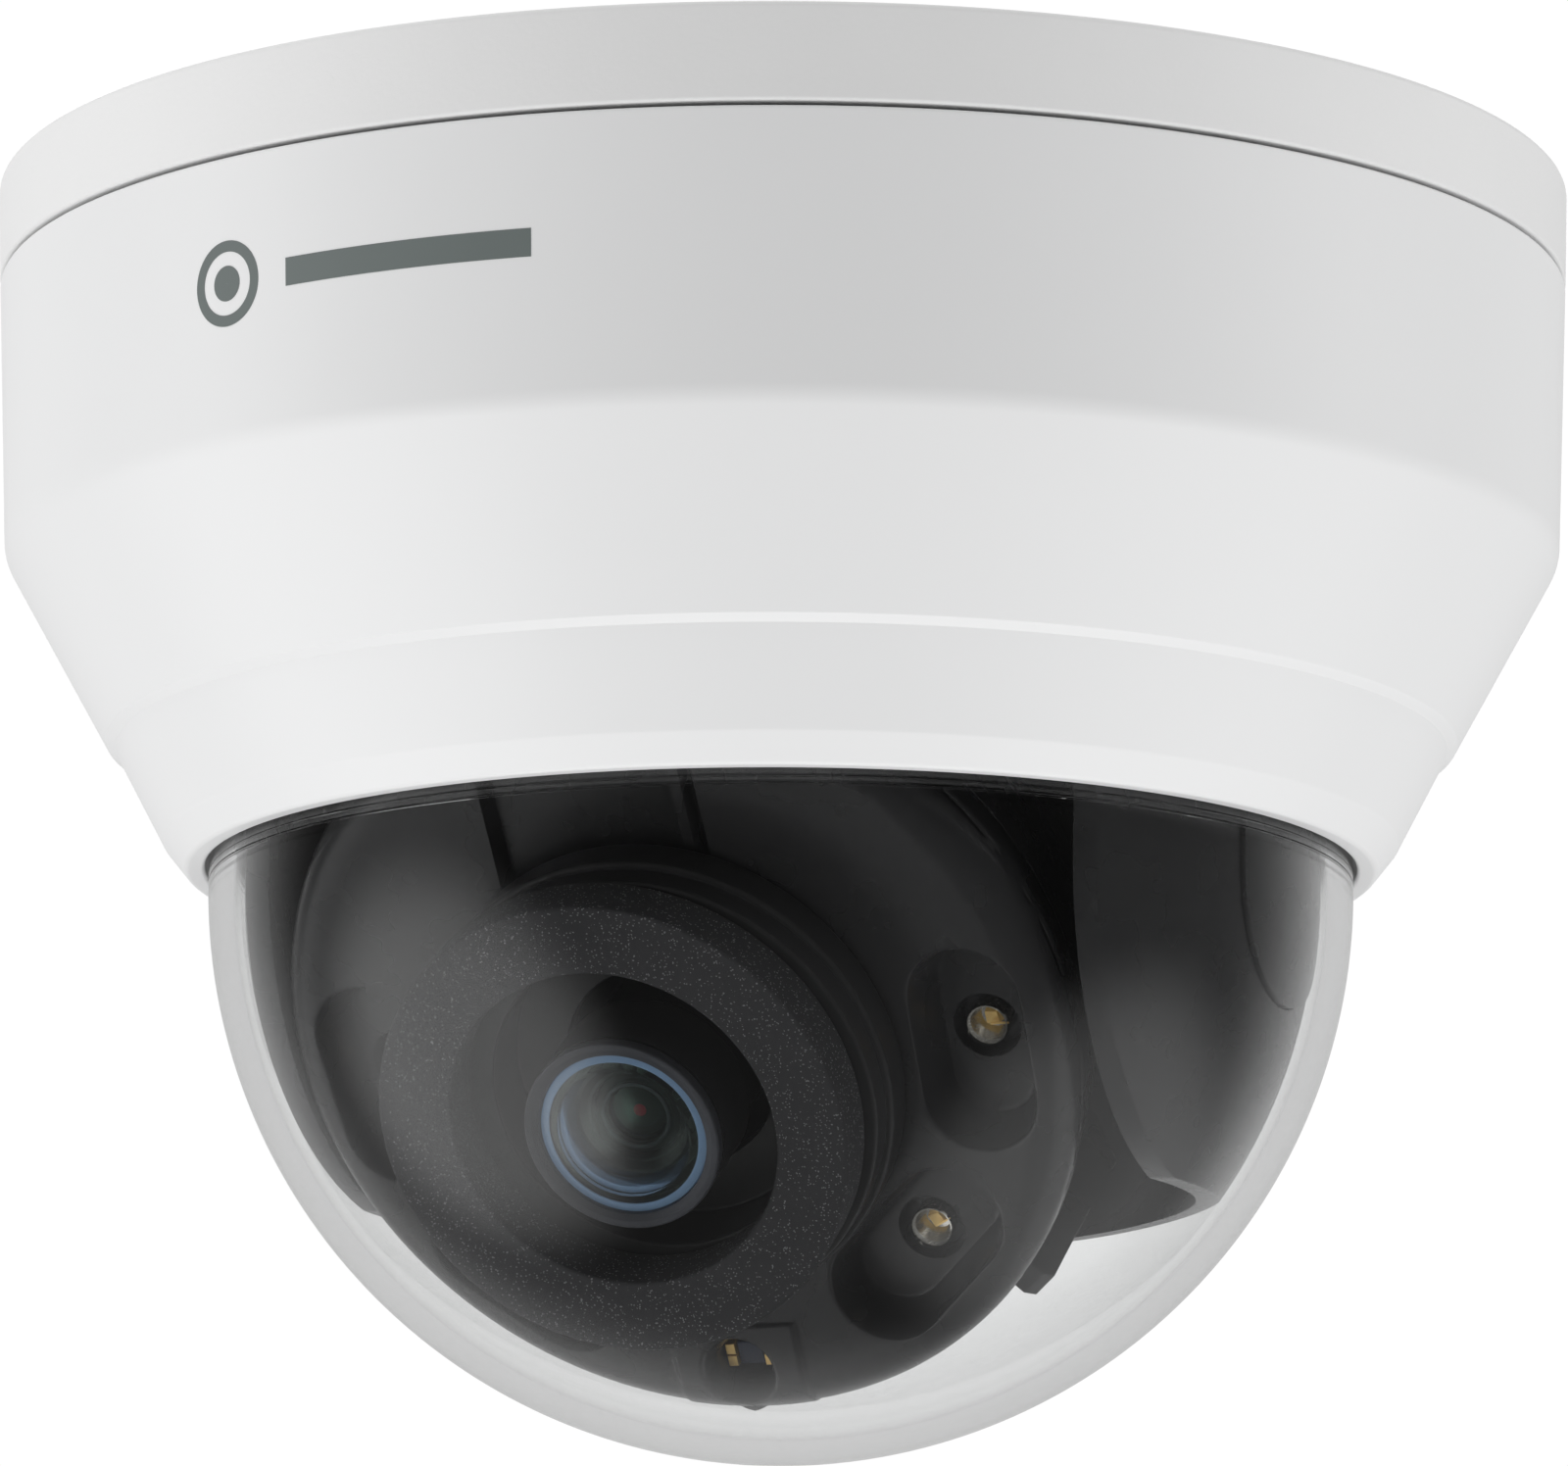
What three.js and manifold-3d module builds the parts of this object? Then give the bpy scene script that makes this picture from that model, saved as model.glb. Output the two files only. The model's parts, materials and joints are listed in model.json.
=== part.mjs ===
// A ceiling dome camera: a round base with its electronics, a pan turntable with a bowl-shaped yoke,
// a tilting eye with four infrared lamps, a rotating lens module, and a pull-off cover with a clear dome.
// Millimetres, +Z up. The origin is the centre of the ceiling face, and everything hangs below it.
import * as THREE from "three";
import { mergeVertices } from "three/addons/utils/BufferGeometryUtils.js";
import Module from "manifold-3d";

// ---- Clearances
const fit = 0.3; // between pieces that touch or are fastened together
const run = 0.35; // round what slides or turns
const pinPlay = 0.12; // round the tilt pins

// ---- Lens module, which turns in the face of the eye; heights are along the lens axis from the tilt axis
const faceZ = 22.4;
const faceWall = 1.6;
const lensY = -0.7; // its axis lies this far below the centre of the face
const hoodRadius = 16.4;
const collarStep = 0.5;
const collarHeight = 2;
const neckStep = 3;
const barrelWall = 1.4;
const barrelBore = 10.9;
const barrelFloorThick = 1.6;
const clipOver = 1.55; // the clip stands this far over the bore behind the face
const clipThick = 1.3;
const clipGap = 0.4;
const foamShift = [-1.1, -0.1];
const foamOver = 0.3;
const foamHole = 11.35;
const foamHeight = 3.9;
const foamClear = 0.2298; // from the foam's edge to the dome
const lensRadius = 6.74;
const lensProud = 1.4; // the lens tip over the foam
const lensHeadLength = 7.3;
const lensThreadRadius = 5.9;
const lensThreadLength = 17;
const bezelHeight = 0.9;
const bezelWidth = 0.94;
const glassRise = 1;
const glassDepth = 1.6;
const innerGlassRadius = 3.4;
const innerGlassDrop = 3.6;
const holderWall = 3.3;
const sensorBoardRadius = 13;
const sensorBoardThick = 1.4;
const sensorBoardBack = 12.1; // from the end of the barrel's neck

// ---- Eye: its own frame has +Z along the lens axis, +Y up across it, and the tilt axis along X
const panRest = -21.6; // degrees about +Z
const tiltRest = 35.1; // degrees below the horizon
const eyeSide = -0.6; // the face disc stands this far off the pan axis
const rimEdge = 2.6; // from the pockets to the rim
const rimSoft = 2.6;
const rimStraight = 0.8;
const rimShoulder = 1.8; // behind the face, where the rounded rim passes closest to the yoke
const skirtUnder = 0.9; // the skirt ends this far behind the pocket cups
const skirtStep = 0.4;
const rearStep = 3.8;
const rearWall = 1.6;
const earRadius = 5;
const exitRadius = 6;
const pocketAngles = [-3, -48.5, 183, 228.5];
const pocketHalfWidth = 3.9;
const pocketHalfLength = 7.4;
const pocketGap = 0.9; // from the hood to the pockets
const pocketSlope = 1.1;
const pocketDepth = 3.8;
const pocketWall = 1.2;
const lampHole = 2.3;
const lampRadius = 1.45;
const lampSink = 2.5; // the lamp tips below the face
const sensorSide = -0.5;
const sensorEdge = 3.6; // from the rim to the middle of the light sensor
const sensorMouth = 2.6;
const sensorFloor = 2.05;
const padSides = [4.5, 4.7]; // either side of the light sensor
const padProud = 0.2;
const recessSides = [-9.3, 6.1];
const recessUnderHood = 3.2;
const recessDepth = 1.4;
const ribAngle = -49.3;
const ribProud = 2.2;
const ribEnds = [4, 1.2]; // behind the tilt axis, and short of the skirt's end
const ribThick = 2.2;
const lampBoardGap = 2.6; // under the pocket cups
const lampBoardThick = 1.3;
const lampBoardEdges = [2.2, 0.8];
const lampScrewSide = 14.5;

// ---- Yoke, a bowl that follows the inside of the dome
const eyeClear = 0.8964; // between the turning rim of the eye and the yoke
const yokeWall = 1.3;
const yokeFlangeWidth = 9;
const cheekOver = 0.6; // the cheeks' front edge over the eye's rounded rim
const cheekCut = 0.5;
const capHalfWidth = 8.9;
const capRise = 16.3;
const capProud = 0.25;
const pivotBossRadius = 5;
const pivotGap = 4.1; // from the back of the eye to the bosses
const pinRadius = 2;

// ---- Main board and what stands on it
const boardThick = 1.6;
const boardStandOff = 4.1;
const boardGap = 0.4; // from the board's edge to the legs
const boardBackY = 12;
const postRadius = 3;
const postEdge = 3.8; // from the side posts to the board's edge
const sidePostY = 3;
const rearPostEdge = 4.3;
const postGap = 2;
const jackSize = [16, 21.3, 12.8];
const jackWall = 1.8;
const terminalX = 23;
const terminalSize = [10, 9.5];
const terminalGap = 1.6; // over the chassis plate
const terminalEntryRadius = 1.5;
const cardEdge = 2; // from the card slot's corner to the board's edge
const cardSize = [15, 15, 2];
const cardThick = 1;
const cardGap = 1.5; // from the reset switch to the card slot
const cardPostGap = 0.5;
const chipX = -4;
const chipSize = [14, 14, 1.4];
const sinkSide = 20;
const sinkEdge = 6.8;
const sinkBase = 2;
const sinkGap = 2.4; // over the chassis plate
const finCount = 6;
const finThick = 1.1;
const socketX = 12;
const socketY = -2;
const socketSize = [3, 9, 3];
const resetY = -2;
const resetSize = [6, 6, 3.5];
const resetRadius = 1.6;
const resetTravel = 0.4;

// ---- Chassis plate and turntable
const plateThick = 2.2;
const plateEdge = 0.2; // round the legs
const hubRadius = 9;
const hubBore = 5.5;
const tableStep = 0.3;
const tableThick = 2.6;
const retainerOver = 3.6;
const retainerThick = 1.6;
const eyeUnderTable = 1.05; // from the yoke's flange to the back of the eye

// ---- Dome and cover
const domeGap = 0.72; // between the yoke and the dome
const domeWall = 1.8;
const domeLift = 1.06; // the dome's centre over the tilt axis
const mouthGap = 0.25;
const mouthOver = 1.14; // the mouth over the dome's centre
const lipWidth = 2.93;
const lipHeight = 2;
const bandWidth = 4.1;
const bandHeight = 7;
const ledge = 0.7;
const slopeWidth = 7.2;
const slopeHeight = 13;
const breakSoft = 1.1;
const wallLean = 0.63;
const coverWall = 1.8;
const seam = 0.3;
const shelfOver = 4.1; // the dome's seat over the mouth
const flangeOver = 1.9;
const flangeThick = 1.4;
const gasketThick = 0.7;
const collarWall = 1.2;
const collarGap = 1.7;
const collarRise = 3.7;
const collarEdge = 2.1;
const collarScrewInset = 3.5;
const collarAngles = [30, 150, 270];

// ---- Base
const baseHeight = 6.7;
const baseDraft = 0.15;
const baseOver = 0.17; // the base's edge over the cover's
const baseFloor = 2.4;
const spigotGap = 1.13;
const spigotWall = 2;
const spigotLength = 6.3;
const bumpHeight = 0.3;
const cableHoleRadius = 8;
const cableHoleGap = 9; // from the board to the hole
const mountSlotWidth = 3.8;
const mountSlotLength = 9;
const mountSlotGap = 1.9;
const legRadius = 3;
const legGap = 1.7;
const legAngles = [90, 210, 330];

// ---- What follows from them: the eye, from its hood outwards
const collarRadius = hoodRadius - collarStep;
const neckRadius = hoodRadius - neckStep;
const inner = faceZ - faceWall;
const clipTopZ = inner - recessDepth - clipGap;
const clipUnderZ = clipTopZ - clipThick;
const neckEndZ = clipUnderZ - 3.1;
const foamRadius = collarRadius + foamOver;
const foamReach = foamRadius + Math.hypot(...foamShift) + Math.abs(lensY);
const glassRadius = lensRadius - fit - bezelWidth;
const sensorBoardZ = neckEndZ - sensorBoardBack;
const pocketCircle = hoodRadius + pocketGap + pocketHalfWidth;
const pocketFloorZ = faceZ - pocketDepth;
const rimRadius = pocketCircle + pocketHalfWidth + rimEdge;
const rimZ = faceZ - rimSoft - rimStraight;
const skirtZ = pocketFloorZ - pocketWall - skirtUnder;
const skirtRadius = rimRadius - skirtStep;
const rearRadius = skirtRadius - rearStep;
const lampTipZ = faceZ - lampSink;
const lampBoardTop = pocketFloorZ - pocketWall - lampBoardGap;
const lampBoardZ = lampBoardTop - lampBoardThick;
const lampBoardRadii = [neckRadius + lampBoardEdges[0], skirtRadius - rearWall - lampBoardEdges[1]];
const lampScrews = [[-lampScrewSide, lampScrewSide], [lampScrewSide, lampScrewSide]];
const sensorPlace = [sensorSide, sensorEdge - rimRadius];
const recessLowY = hoodRadius + lensY - recessUnderHood;

// ---- The yoke, dome, cover and base round the eye
const rimTurn = Math.hypot(rimRadius + Math.abs(eyeSide), faceZ - rimShoulder);
const yokeRadius = rimTurn + eyeClear + yokeWall;
const cheekRadius = faceZ - rimShoulder + cheekOver;
const pivotFaceX = rearRadius + pivotGap;
const domeInner = yokeRadius + domeGap;
const domeRadius = domeInner + domeWall;
const mouthRadius = domeRadius + mouthGap;
const foamTopZ = Math.sqrt((domeInner - domeLift - foamClear) ** 2 - foamReach ** 2);
const collarTopZ = foamTopZ - foamHeight - fit;
const hoodTopZ = collarTopZ - collarHeight;
const lensTipZ = foamTopZ + lensProud;
const lensHeadZ = lensTipZ - lensHeadLength;
const lensEndZ = lensHeadZ - lensThreadLength;
const lipRadius = mouthRadius + lipWidth;
const stepRadius = lipRadius + bandWidth;
const breakRadius = stepRadius + slopeWidth;
const coverRadius = breakRadius + wallLean;
const baseRadius = coverRadius + baseOver;
const spigotRadius = coverRadius - coverWall - spigotGap;
const legCircle = spigotRadius - spigotWall - legRadius - legGap;
const plateRadius = legCircle + legRadius + plateEdge;
const boardRadius = legCircle - legRadius - boardGap;
const mountSlotRadius = boardRadius + mountSlotGap + mountSlotWidth / 2;
const tableRadius = yokeRadius - tableStep;
const retainerRadius = hubRadius + retainerOver;
const collarScrewCircle = stepRadius - collarScrewInset;

// ---- Depths below the ceiling face
const boardTop = -(baseFloor + boardStandOff);
const boardUnder = boardTop - boardThick;
const partsTop = boardUnder - fit;
const plateUnder = partsTop - jackSize[2];
const plateTop = plateUnder + plateThick;
const tableTop = plateUnder - run;
const tableUnder = tableTop - tableThick;
const hubTop = plateTop + run;
const yokeTop = tableUnder - fit;
const flangeUnder = yokeTop - yokeWall;
const tiltDrop = rearRadius + eyeUnderTable - flangeUnder;
const capTopDrop = tiltDrop - capRise;
const yokeDrop = tiltDrop + cheekRadius - cheekCut;
const domeCentreDrop = tiltDrop - domeLift;
const mouthDrop = domeCentreDrop - mouthOver;
const lipDrop = mouthDrop - lipHeight;
const stepDrop = lipDrop - bandHeight;
const breakDrop = stepDrop - slopeHeight;
const shelfDrop = mouthDrop - shelfOver;
const collarTopDrop = stepDrop - collarRise;
const spigotDrop = baseHeight + spigotLength;
const cableHoleY = boardBackY + cableHoleGap + cableHoleRadius;

// ---- Places on the main board
const sidePostX = boardRadius - postEdge;
const resetX = sidePostX - postRadius - resetSize[0] / 2;
const cardY = resetY - resetSize[1] / 2 - cardGap - cardSize[1] / 2;
const cardReach = Math.sqrt((boardRadius - cardEdge) ** 2 - (cardY - cardSize[1] / 2) ** 2);
const cardX = cardReach - cardSize[0] / 2;
const rearPostY = cardY - cardSize[1] / 2 - cardPostGap - postRadius;
const rearPostX = Math.sqrt((boardRadius - rearPostEdge) ** 2 - rearPostY ** 2);
const boardPosts = [
  [-rearPostX, rearPostY],
  [rearPostX, rearPostY],
  [-sidePostX, sidePostY],
  [sidePostX, sidePostY],
];
const jackX = -(sidePostX - postRadius - postGap - jackSize[0] / 2);
const chipY = -(boardRadius - sinkSide / 2 - sinkEdge);

const wasm = await Module();
wasm.setup();

// ---- Solids: plain geometry in, plain geometry out, joined and cut by manifold-3d
function solid(geometry) {
  const bare = geometry.clone();
  bare.deleteAttribute("normal");
  bare.deleteAttribute("uv");
  const merged = mergeVertices(bare, 1e-4);
  const vertProperties = new Float32Array(merged.attributes.position.array);
  const triVerts = new Uint32Array(merged.index.array);
  const made = new wasm.Manifold(new wasm.Mesh({ numProp: 3, vertProperties, triVerts }));
  if (made.volume() > 0) return made;
  triVerts.reverse();
  return new wasm.Manifold(new wasm.Mesh({ numProp: 3, vertProperties, triVerts }));
}

function plain(body) {
  const mesh = body.getMesh();
  const geometry = new THREE.BufferGeometry();
  geometry.setAttribute("position", new THREE.BufferAttribute(mesh.vertProperties, 3));
  geometry.setIndex(new THREE.BufferAttribute(mesh.triVerts, 1));
  return geometry;
}

function join(first, ...rest) {
  return plain(rest.reduce((all, one) => all.add(solid(one)), solid(first)));
}

function cut(first, ...rest) {
  return plain(rest.reduce((all, one) => all.subtract(solid(one)), solid(first)));
}

function common(first, second) {
  return plain(solid(first).intersect(solid(second)));
}

// ---- Shapes
function arc(x, y, radius, from, to, steps) {
  return Array.from({ length: steps + 1 }, (_, i) => {
    const a = THREE.MathUtils.degToRad(from + ((to - from) * i) / steps);
    return [x + radius * Math.cos(a), y + radius * Math.sin(a)];
  });
}

// A profile of [radius, z] points turned about Z, drawn either way round.
// It starts and ends on the axis, or closes on itself.
function turned(profile, sides = 40) {
  const points = profile.map(([r, z]) => new THREE.Vector2(r, z));
  if (THREE.ShapeUtils.area(points) < 0) points.reverse();
  const onAxis = points[0].x === 0 && points[points.length - 1].x === 0;
  if (!onAxis) points.push(points[0].clone());
  return new THREE.LatheGeometry(points, sides).rotateX(Math.PI / 2);
}

function ring(inner, outer, low, high, sides = 28) {
  return turned([[inner, low], [outer, low], [outer, high], [inner, high]], sides);
}

function rod(radius, low, high, sides = 16) {
  return turned([[0, low], [radius, low], [radius, high], [0, high]], sides);
}

function block(size, x, y, z) {
  return new THREE.BoxGeometry(...size).translate(x, y, z);
}

// A block given by its lowest and highest corners.
function span(low, high) {
  const size = high.map((h, i) => h - low[i]);
  return block(size, ...low.map((l, i) => l + size[i] / 2));
}

function outline(points) {
  return new THREE.Shape(points.map(([x, y]) => new THREE.Vector2(x, y)));
}

function slab(points, low, high) {
  const options = { depth: high - low, bevelEnabled: false };
  return new THREE.ExtrudeGeometry(outline(points), options).translate(0, 0, low);
}

function slotPoints(halfLength, halfWidth, steps = 6) {
  const reach = halfLength - halfWidth;
  return [
    ...arc(0, reach, halfWidth, 0, 180, steps),
    ...arc(0, -reach, halfWidth, 180, 360, steps),
  ];
}

// The outline moved inwards by a wall, with mitred corners.
function inset(points, wall) {
  const direction = (a, b) => new THREE.Vector2(b[0] - a[0], b[1] - a[1]).normalize();
  return points.map((p, i) => {
    const into = direction(points[Math.max(i - 1, 0)], points[Math.max(i, 1)]);
    const last = points.length - 1;
    const out = direction(points[Math.min(i, last - 1)], points[Math.min(i + 1, last)]);
    const mitre = new THREE.Vector2(into.y + out.y, -into.x - out.x).normalize();
    const reach = wall / Math.max(mitre.dot(new THREE.Vector2(into.y, -into.x)), 0.5);
    return [p[0] + mitre.x * reach, p[1] + mitre.y * reach];
  });
}

function polar(radius, degrees) {
  const a = THREE.MathUtils.degToRad(degrees);
  return [radius * Math.cos(a), radius * Math.sin(a)];
}

// A slotted screw along Z, with its head's underside at z and its shank running to tip.
function screw(headRadius, headHeight, shankRadius, z, tip) {
  const out = Math.sign(z - tip);
  const crown = z + out * headHeight;
  const profile = [
    [0, tip],
    [shankRadius, tip],
    [shankRadius, z],
    [headRadius, z],
    [headRadius * 0.85, crown],
    [0, crown],
  ];
  const middle = crown - out * headHeight * 0.25;
  const slot = block([headRadius * 1.2, headRadius * 0.26, headHeight * 0.6], 0, 0, middle);
  return cut(turned(profile, 8), slot);
}

// ---- Materials
const paint = {
  baseWhite: [0xd6d6d4, 0.62, 0],
  coverWhite: [0xe9eaea, 0.28, 0],
  clear: [0xeef2f4, 0.05, 0],
  innerBlack: [0x1e1e20, 0.5, 0],
  hoodBlack: [0x18181a, 0.42, 0],
  foam: [0x333436, 0.95, 0],
  board: [0x14351f, 0.5, 0],
  part: [0x17181a, 0.45, 0],
  steel: [0xaeb0b2, 0.32, 1],
  tin: [0xb9bbbd, 0.35, 1],
  terminal: [0x2e6b3f, 0.5, 0],
  gasket: [0x0f0f10, 0.8, 0],
  bezel: [0x55627f, 0.3, 0.6],
  glass: [0x0b1412, 0.04, 0],
  lamp: [0xe6e0cf, 0.08, 0],
  sensor: [0x241c10, 0.25, 0.2],
  lensBlack: [0x101011, 0.38, 0],
  button: [0x8a2222, 0.5, 0],
};

function piece(name, geometry, [color, roughness, metalness]) {
  const material = new THREE.MeshStandardMaterial({ color, roughness, metalness });
  const mesh = new THREE.Mesh(geometry, material);
  mesh.name = name;
  return mesh;
}

// ---- Base
function baseCase() {
  const soft = 0.5;
  const body = turned(
    [
      [0, 0],
      [baseRadius - soft, 0],
      [baseRadius, -soft],
      [baseRadius - baseDraft, -baseHeight],
      [spigotRadius, -baseHeight],
      [spigotRadius, -spigotDrop],
      [spigotRadius - spigotWall, -spigotDrop],
      [spigotRadius - spigotWall, -baseFloor],
      [0, -baseFloor],
    ],
    48,
  );
  const posts = boardPosts.map(([x, y]) =>
    rod(postRadius, boardTop + fit, -baseFloor / 2, 10).translate(x, y, 0),
  );
  const legs = legAngles.map((angle) =>
    rod(legRadius, plateTop + fit, -baseFloor / 2, 12).translate(...polar(legCircle, angle), 0),
  );
  const bumps = legAngles.map((angle) => {
    const low = [spigotRadius - 1, -3, -spigotDrop + 1];
    const bump = span(low, [spigotRadius + bumpHeight, 3, -spigotDrop + 3]);
    return bump.rotateZ(THREE.MathUtils.degToRad(angle + 60));
  });
  const pilots = [
    ...boardPosts.map(([x, y]) => rod(1.3, -20, -baseFloor - 0.4, 8).translate(x, y, 0)),
    ...legAngles.map((angle) =>
      rod(1.4, -30, -baseFloor - 4, 8).translate(...polar(legCircle, angle), 0),
    ),
  ];
  const slots = [-1, 1].map((side) =>
    slab(slotPoints(mountSlotLength / 2, mountSlotWidth / 2), -5, 1)
      .translate(side * mountSlotRadius, 0, 0),
  );
  const cableHole = rod(cableHoleRadius, -5, 1, 24).translate(0, cableHoleY, 0);
  return cut(join(body, ...posts, ...legs, ...bumps), ...pilots, ...slots, cableHole);
}

function mainBoard() {
  const edge = THREE.MathUtils.radToDeg(Math.asin(boardBackY / boardRadius));
  const disc = slab(arc(0, 0, boardRadius, 180 - edge, 360 + edge, 30), boardUnder, boardTop);
  const holes = boardPosts.map(([x, y]) => rod(1.6, -20, 0, 8).translate(x, y, 0));
  return cut(disc, ...holes);
}

function networkJack() {
  const [wide, deep, tall] = jackSize;
  const mouthY = boardBackY - fit;
  const shell = span([-wide / 2, mouthY - deep, partsTop - tall], [wide / 2, mouthY, partsTop]);
  const half = wide / 2 - jackWall;
  const low = partsTop - tall + jackWall;
  const socket = span([-half, mouthY - deep + 6, low + 2], [half, mouthY + 1, partsTop - jackWall]);
  const latch = span([-3, mouthY - 9, low], [3, mouthY + 1, low + 3]);
  return cut(shell, socket, latch).translate(jackX, 0, 0);
}

function powerTerminal() {
  const [wide, deep] = terminalSize;
  const tall = partsTop - plateTop - terminalGap;
  const mouthY = boardBackY - fit;
  const body = span([-wide / 2, mouthY - deep, partsTop - tall], [wide / 2, mouthY, partsTop]);
  const entries = [-1, 1].map((side) =>
    rod(terminalEntryRadius, -1, 6, 8)
      .rotateX(Math.PI / 2)
      .translate((side * wide) / 4, mouthY, partsTop - tall / 2),
  );
  return cut(body, ...entries).translate(terminalX, 0, 0);
}

function cardSlot() {
  const [wide, deep, tall] = cardSize;
  const body = block(cardSize, 0, 0, partsTop - tall / 2);
  const mouth = block([deep, wide - 3, cardThick], 3, 0, partsTop - tall / 2);
  return cut(body, mouth).translate(cardX, cardY, 0);
}

function heatSink() {
  const top = partsTop - chipSize[2] - fit;
  const under = plateTop + sinkGap;
  const foot = span([-sinkSide / 2, -sinkSide / 2, top - sinkBase], [sinkSide / 2, sinkSide / 2, top]);
  const pitch = (sinkSide - finThick) / (finCount - 1);
  const fins = Array.from({ length: finCount }, (_, i) => {
    const x = -sinkSide / 2 + i * pitch;
    return span([x, -sinkSide / 2, under], [x + finThick, sinkSide / 2, top - sinkBase + 0.5]);
  });
  return join(foot, ...fins).translate(chipX, chipY, 0);
}

const resetUnder = partsTop - resetSize[2];

function resetSwitch() {
  const body = block(resetSize, 0, 0, partsTop - resetSize[2] / 2);
  const bore = rod(resetRadius + fit, resetUnder - 1, partsTop - 1, 12);
  return cut(body, bore).translate(resetX, resetY, 0);
}

function resetButton() {
  const top = partsTop - 1 - resetTravel - fit;
  return rod(resetRadius, resetUnder - 1.6, top, 12).translate(resetX, resetY, 0);
}

function chassisPlate() {
  const bore = hubRadius + run;
  const plate = ring(bore, plateRadius, plateUnder, plateTop, 48);
  const [wide] = jackSize;
  const bay = cableHoleRadius + 8;
  const windows = [
    span([jackX - wide / 2 - 1, boardBackY - jackSize[1] - 1, -30], [jackX + wide / 2 + 1, boardBackY, 0]),
    span([-bay, boardBackY + 3, -30], [bay, cableHoleY + cableHoleRadius + 2, 0]),
    ...[-1, 1].map((side) => rod(5.2, -30, 0, 14).translate(side * mountSlotRadius, 0, 0)),
    ...legAngles.map((angle) => rod(1.6, -30, 0, 8).translate(...polar(legCircle, angle), 0)),
  ];
  return cut(plate, ...windows);
}

function baseGroup() {
  const group = new THREE.Group();
  group.add(
    piece("base_case", baseCase(), paint.baseWhite),
    piece("main_board", mainBoard(), paint.board),
    piece("network_jack", networkJack(), paint.tin),
    piece("power_terminal", powerTerminal(), paint.terminal),
    piece("card_slot", cardSlot(), paint.tin),
    piece("processor", block(chipSize, chipX, chipY, partsTop - chipSize[2] / 2), paint.part),
    piece("heat_sink", heatSink(), paint.part),
    piece("flex_socket", block(socketSize, socketX, socketY, partsTop - socketSize[2] / 2), paint.part),
    piece("reset_switch", resetSwitch(), paint.tin),
    piece("chassis_plate", chassisPlate(), paint.innerBlack),
  );
  boardPosts.forEach(([x, y], i) => {
    const made = screw(2.4, 1.6, 1, boardUnder - fit, -baseFloor - 1).translate(x, y, 0);
    group.add(piece(`board_screw_${i + 1}`, made, paint.steel));
  });
  legAngles.forEach((angle, i) => {
    const made = screw(2.6, 1.7, 1.1, plateUnder - fit, -baseFloor - 5);
    made.translate(...polar(legCircle, angle), 0);
    group.add(piece(`chassis_screw_${i + 1}`, made, paint.steel));
  });
  return group;
}

// ---- Turntable and yoke
const yokeFlangeInner = yokeRadius - yokeFlangeWidth;
const yokeScrewCircle = yokeRadius - yokeWall - 3.6;
const yokeScrewAngles = [90, -20, 200];
const retainerScrewCircle = (hubRadius + hubBore) / 2;
const retainerScrewAngles = [60, 180, 300];

function turntable() {
  const body = turned([
    [hubBore, tableUnder],
    [tableRadius, tableUnder],
    [tableRadius, tableTop],
    [hubRadius, tableTop],
    [hubRadius, hubTop],
    [hubBore, hubTop],
  ]);
  const pilots = [
    ...retainerScrewAngles.map((angle) =>
      rod(0.85, hubTop - 4.2, hubTop + 1, 6).translate(...polar(retainerScrewCircle, angle), 0),
    ),
    ...yokeScrewAngles.map((angle) =>
      rod(1.2, tableUnder - 1, tableUnder + 1.9, 8).translate(...polar(yokeScrewCircle, angle), 0),
    ),
  ];
  return cut(body, ...pilots);
}

function turntableRetainer() {
  const low = hubTop + fit;
  const holes = retainerScrewAngles.map((angle) =>
    rod(0.95, low - 1, low + 5, 6).translate(...polar(retainerScrewCircle, angle), 0),
  );
  return cut(ring(hubBore, retainerRadius, low, low + retainerThick), ...holes);
}

// Half of the bowl's section, outer or inner, from its top to its open bottom.
function bowlSide(radius, top, bottom) {
  const low = THREE.MathUtils.radToDeg(Math.asin((domeCentreDrop + bottom) / radius));
  return [[radius, top], ...arc(0, -domeCentreDrop, radius, 0, low, 6)];
}

// A prism across the bowl, drawn as it is seen along X: points are [y, z].
function acrossX(points, low, high) {
  const prism = slab(points, low, high);
  const matrix = new THREE.Matrix4().makeBasis(
    new THREE.Vector3(0, 1, 0),
    new THREE.Vector3(0, 0, 1),
    new THREE.Vector3(1, 0, 0),
  );
  return prism.applyMatrix4(matrix);
}

function capOutline(grow) {
  const half = capHalfWidth + grow;
  return [
    [half, -capTopDrop + grow],
    [-half, -capTopDrop + grow],
    ...arc(0, -tiltDrop, half, 180, 360, 8),
  ];
}

function yokeShroud() {
  const outside = bowlSide(yokeRadius, yokeTop, -yokeDrop);
  const inside = bowlSide(yokeRadius - yokeWall, flangeUnder, -yokeDrop).reverse();
  const bowl = turned([[yokeFlangeInner, yokeTop], ...outside, ...inside, [yokeFlangeInner, flangeUnder]]);
  const far = yokeRadius + 10;
  const front = [
    [-far, 0],
    [-far, -yokeDrop - 10],
    [0, -yokeDrop - 10],
    ...arc(0, -tiltDrop, cheekRadius, 270, 180, 10),
    [-cheekRadius, 0],
  ];
  const windows = [-1, 1].map((side) =>
    acrossX(capOutline(fit), Math.min(side * 25, side * far), Math.max(side * 25, side * far)),
  );
  const holes = yokeScrewAngles.map((angle) =>
    rod(1.5, flangeUnder - 1, yokeTop + 1, 8).translate(...polar(yokeScrewCircle, angle), 0),
  );
  return cut(bowl, acrossX(front, -far, far), ...windows, ...holes);
}

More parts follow.
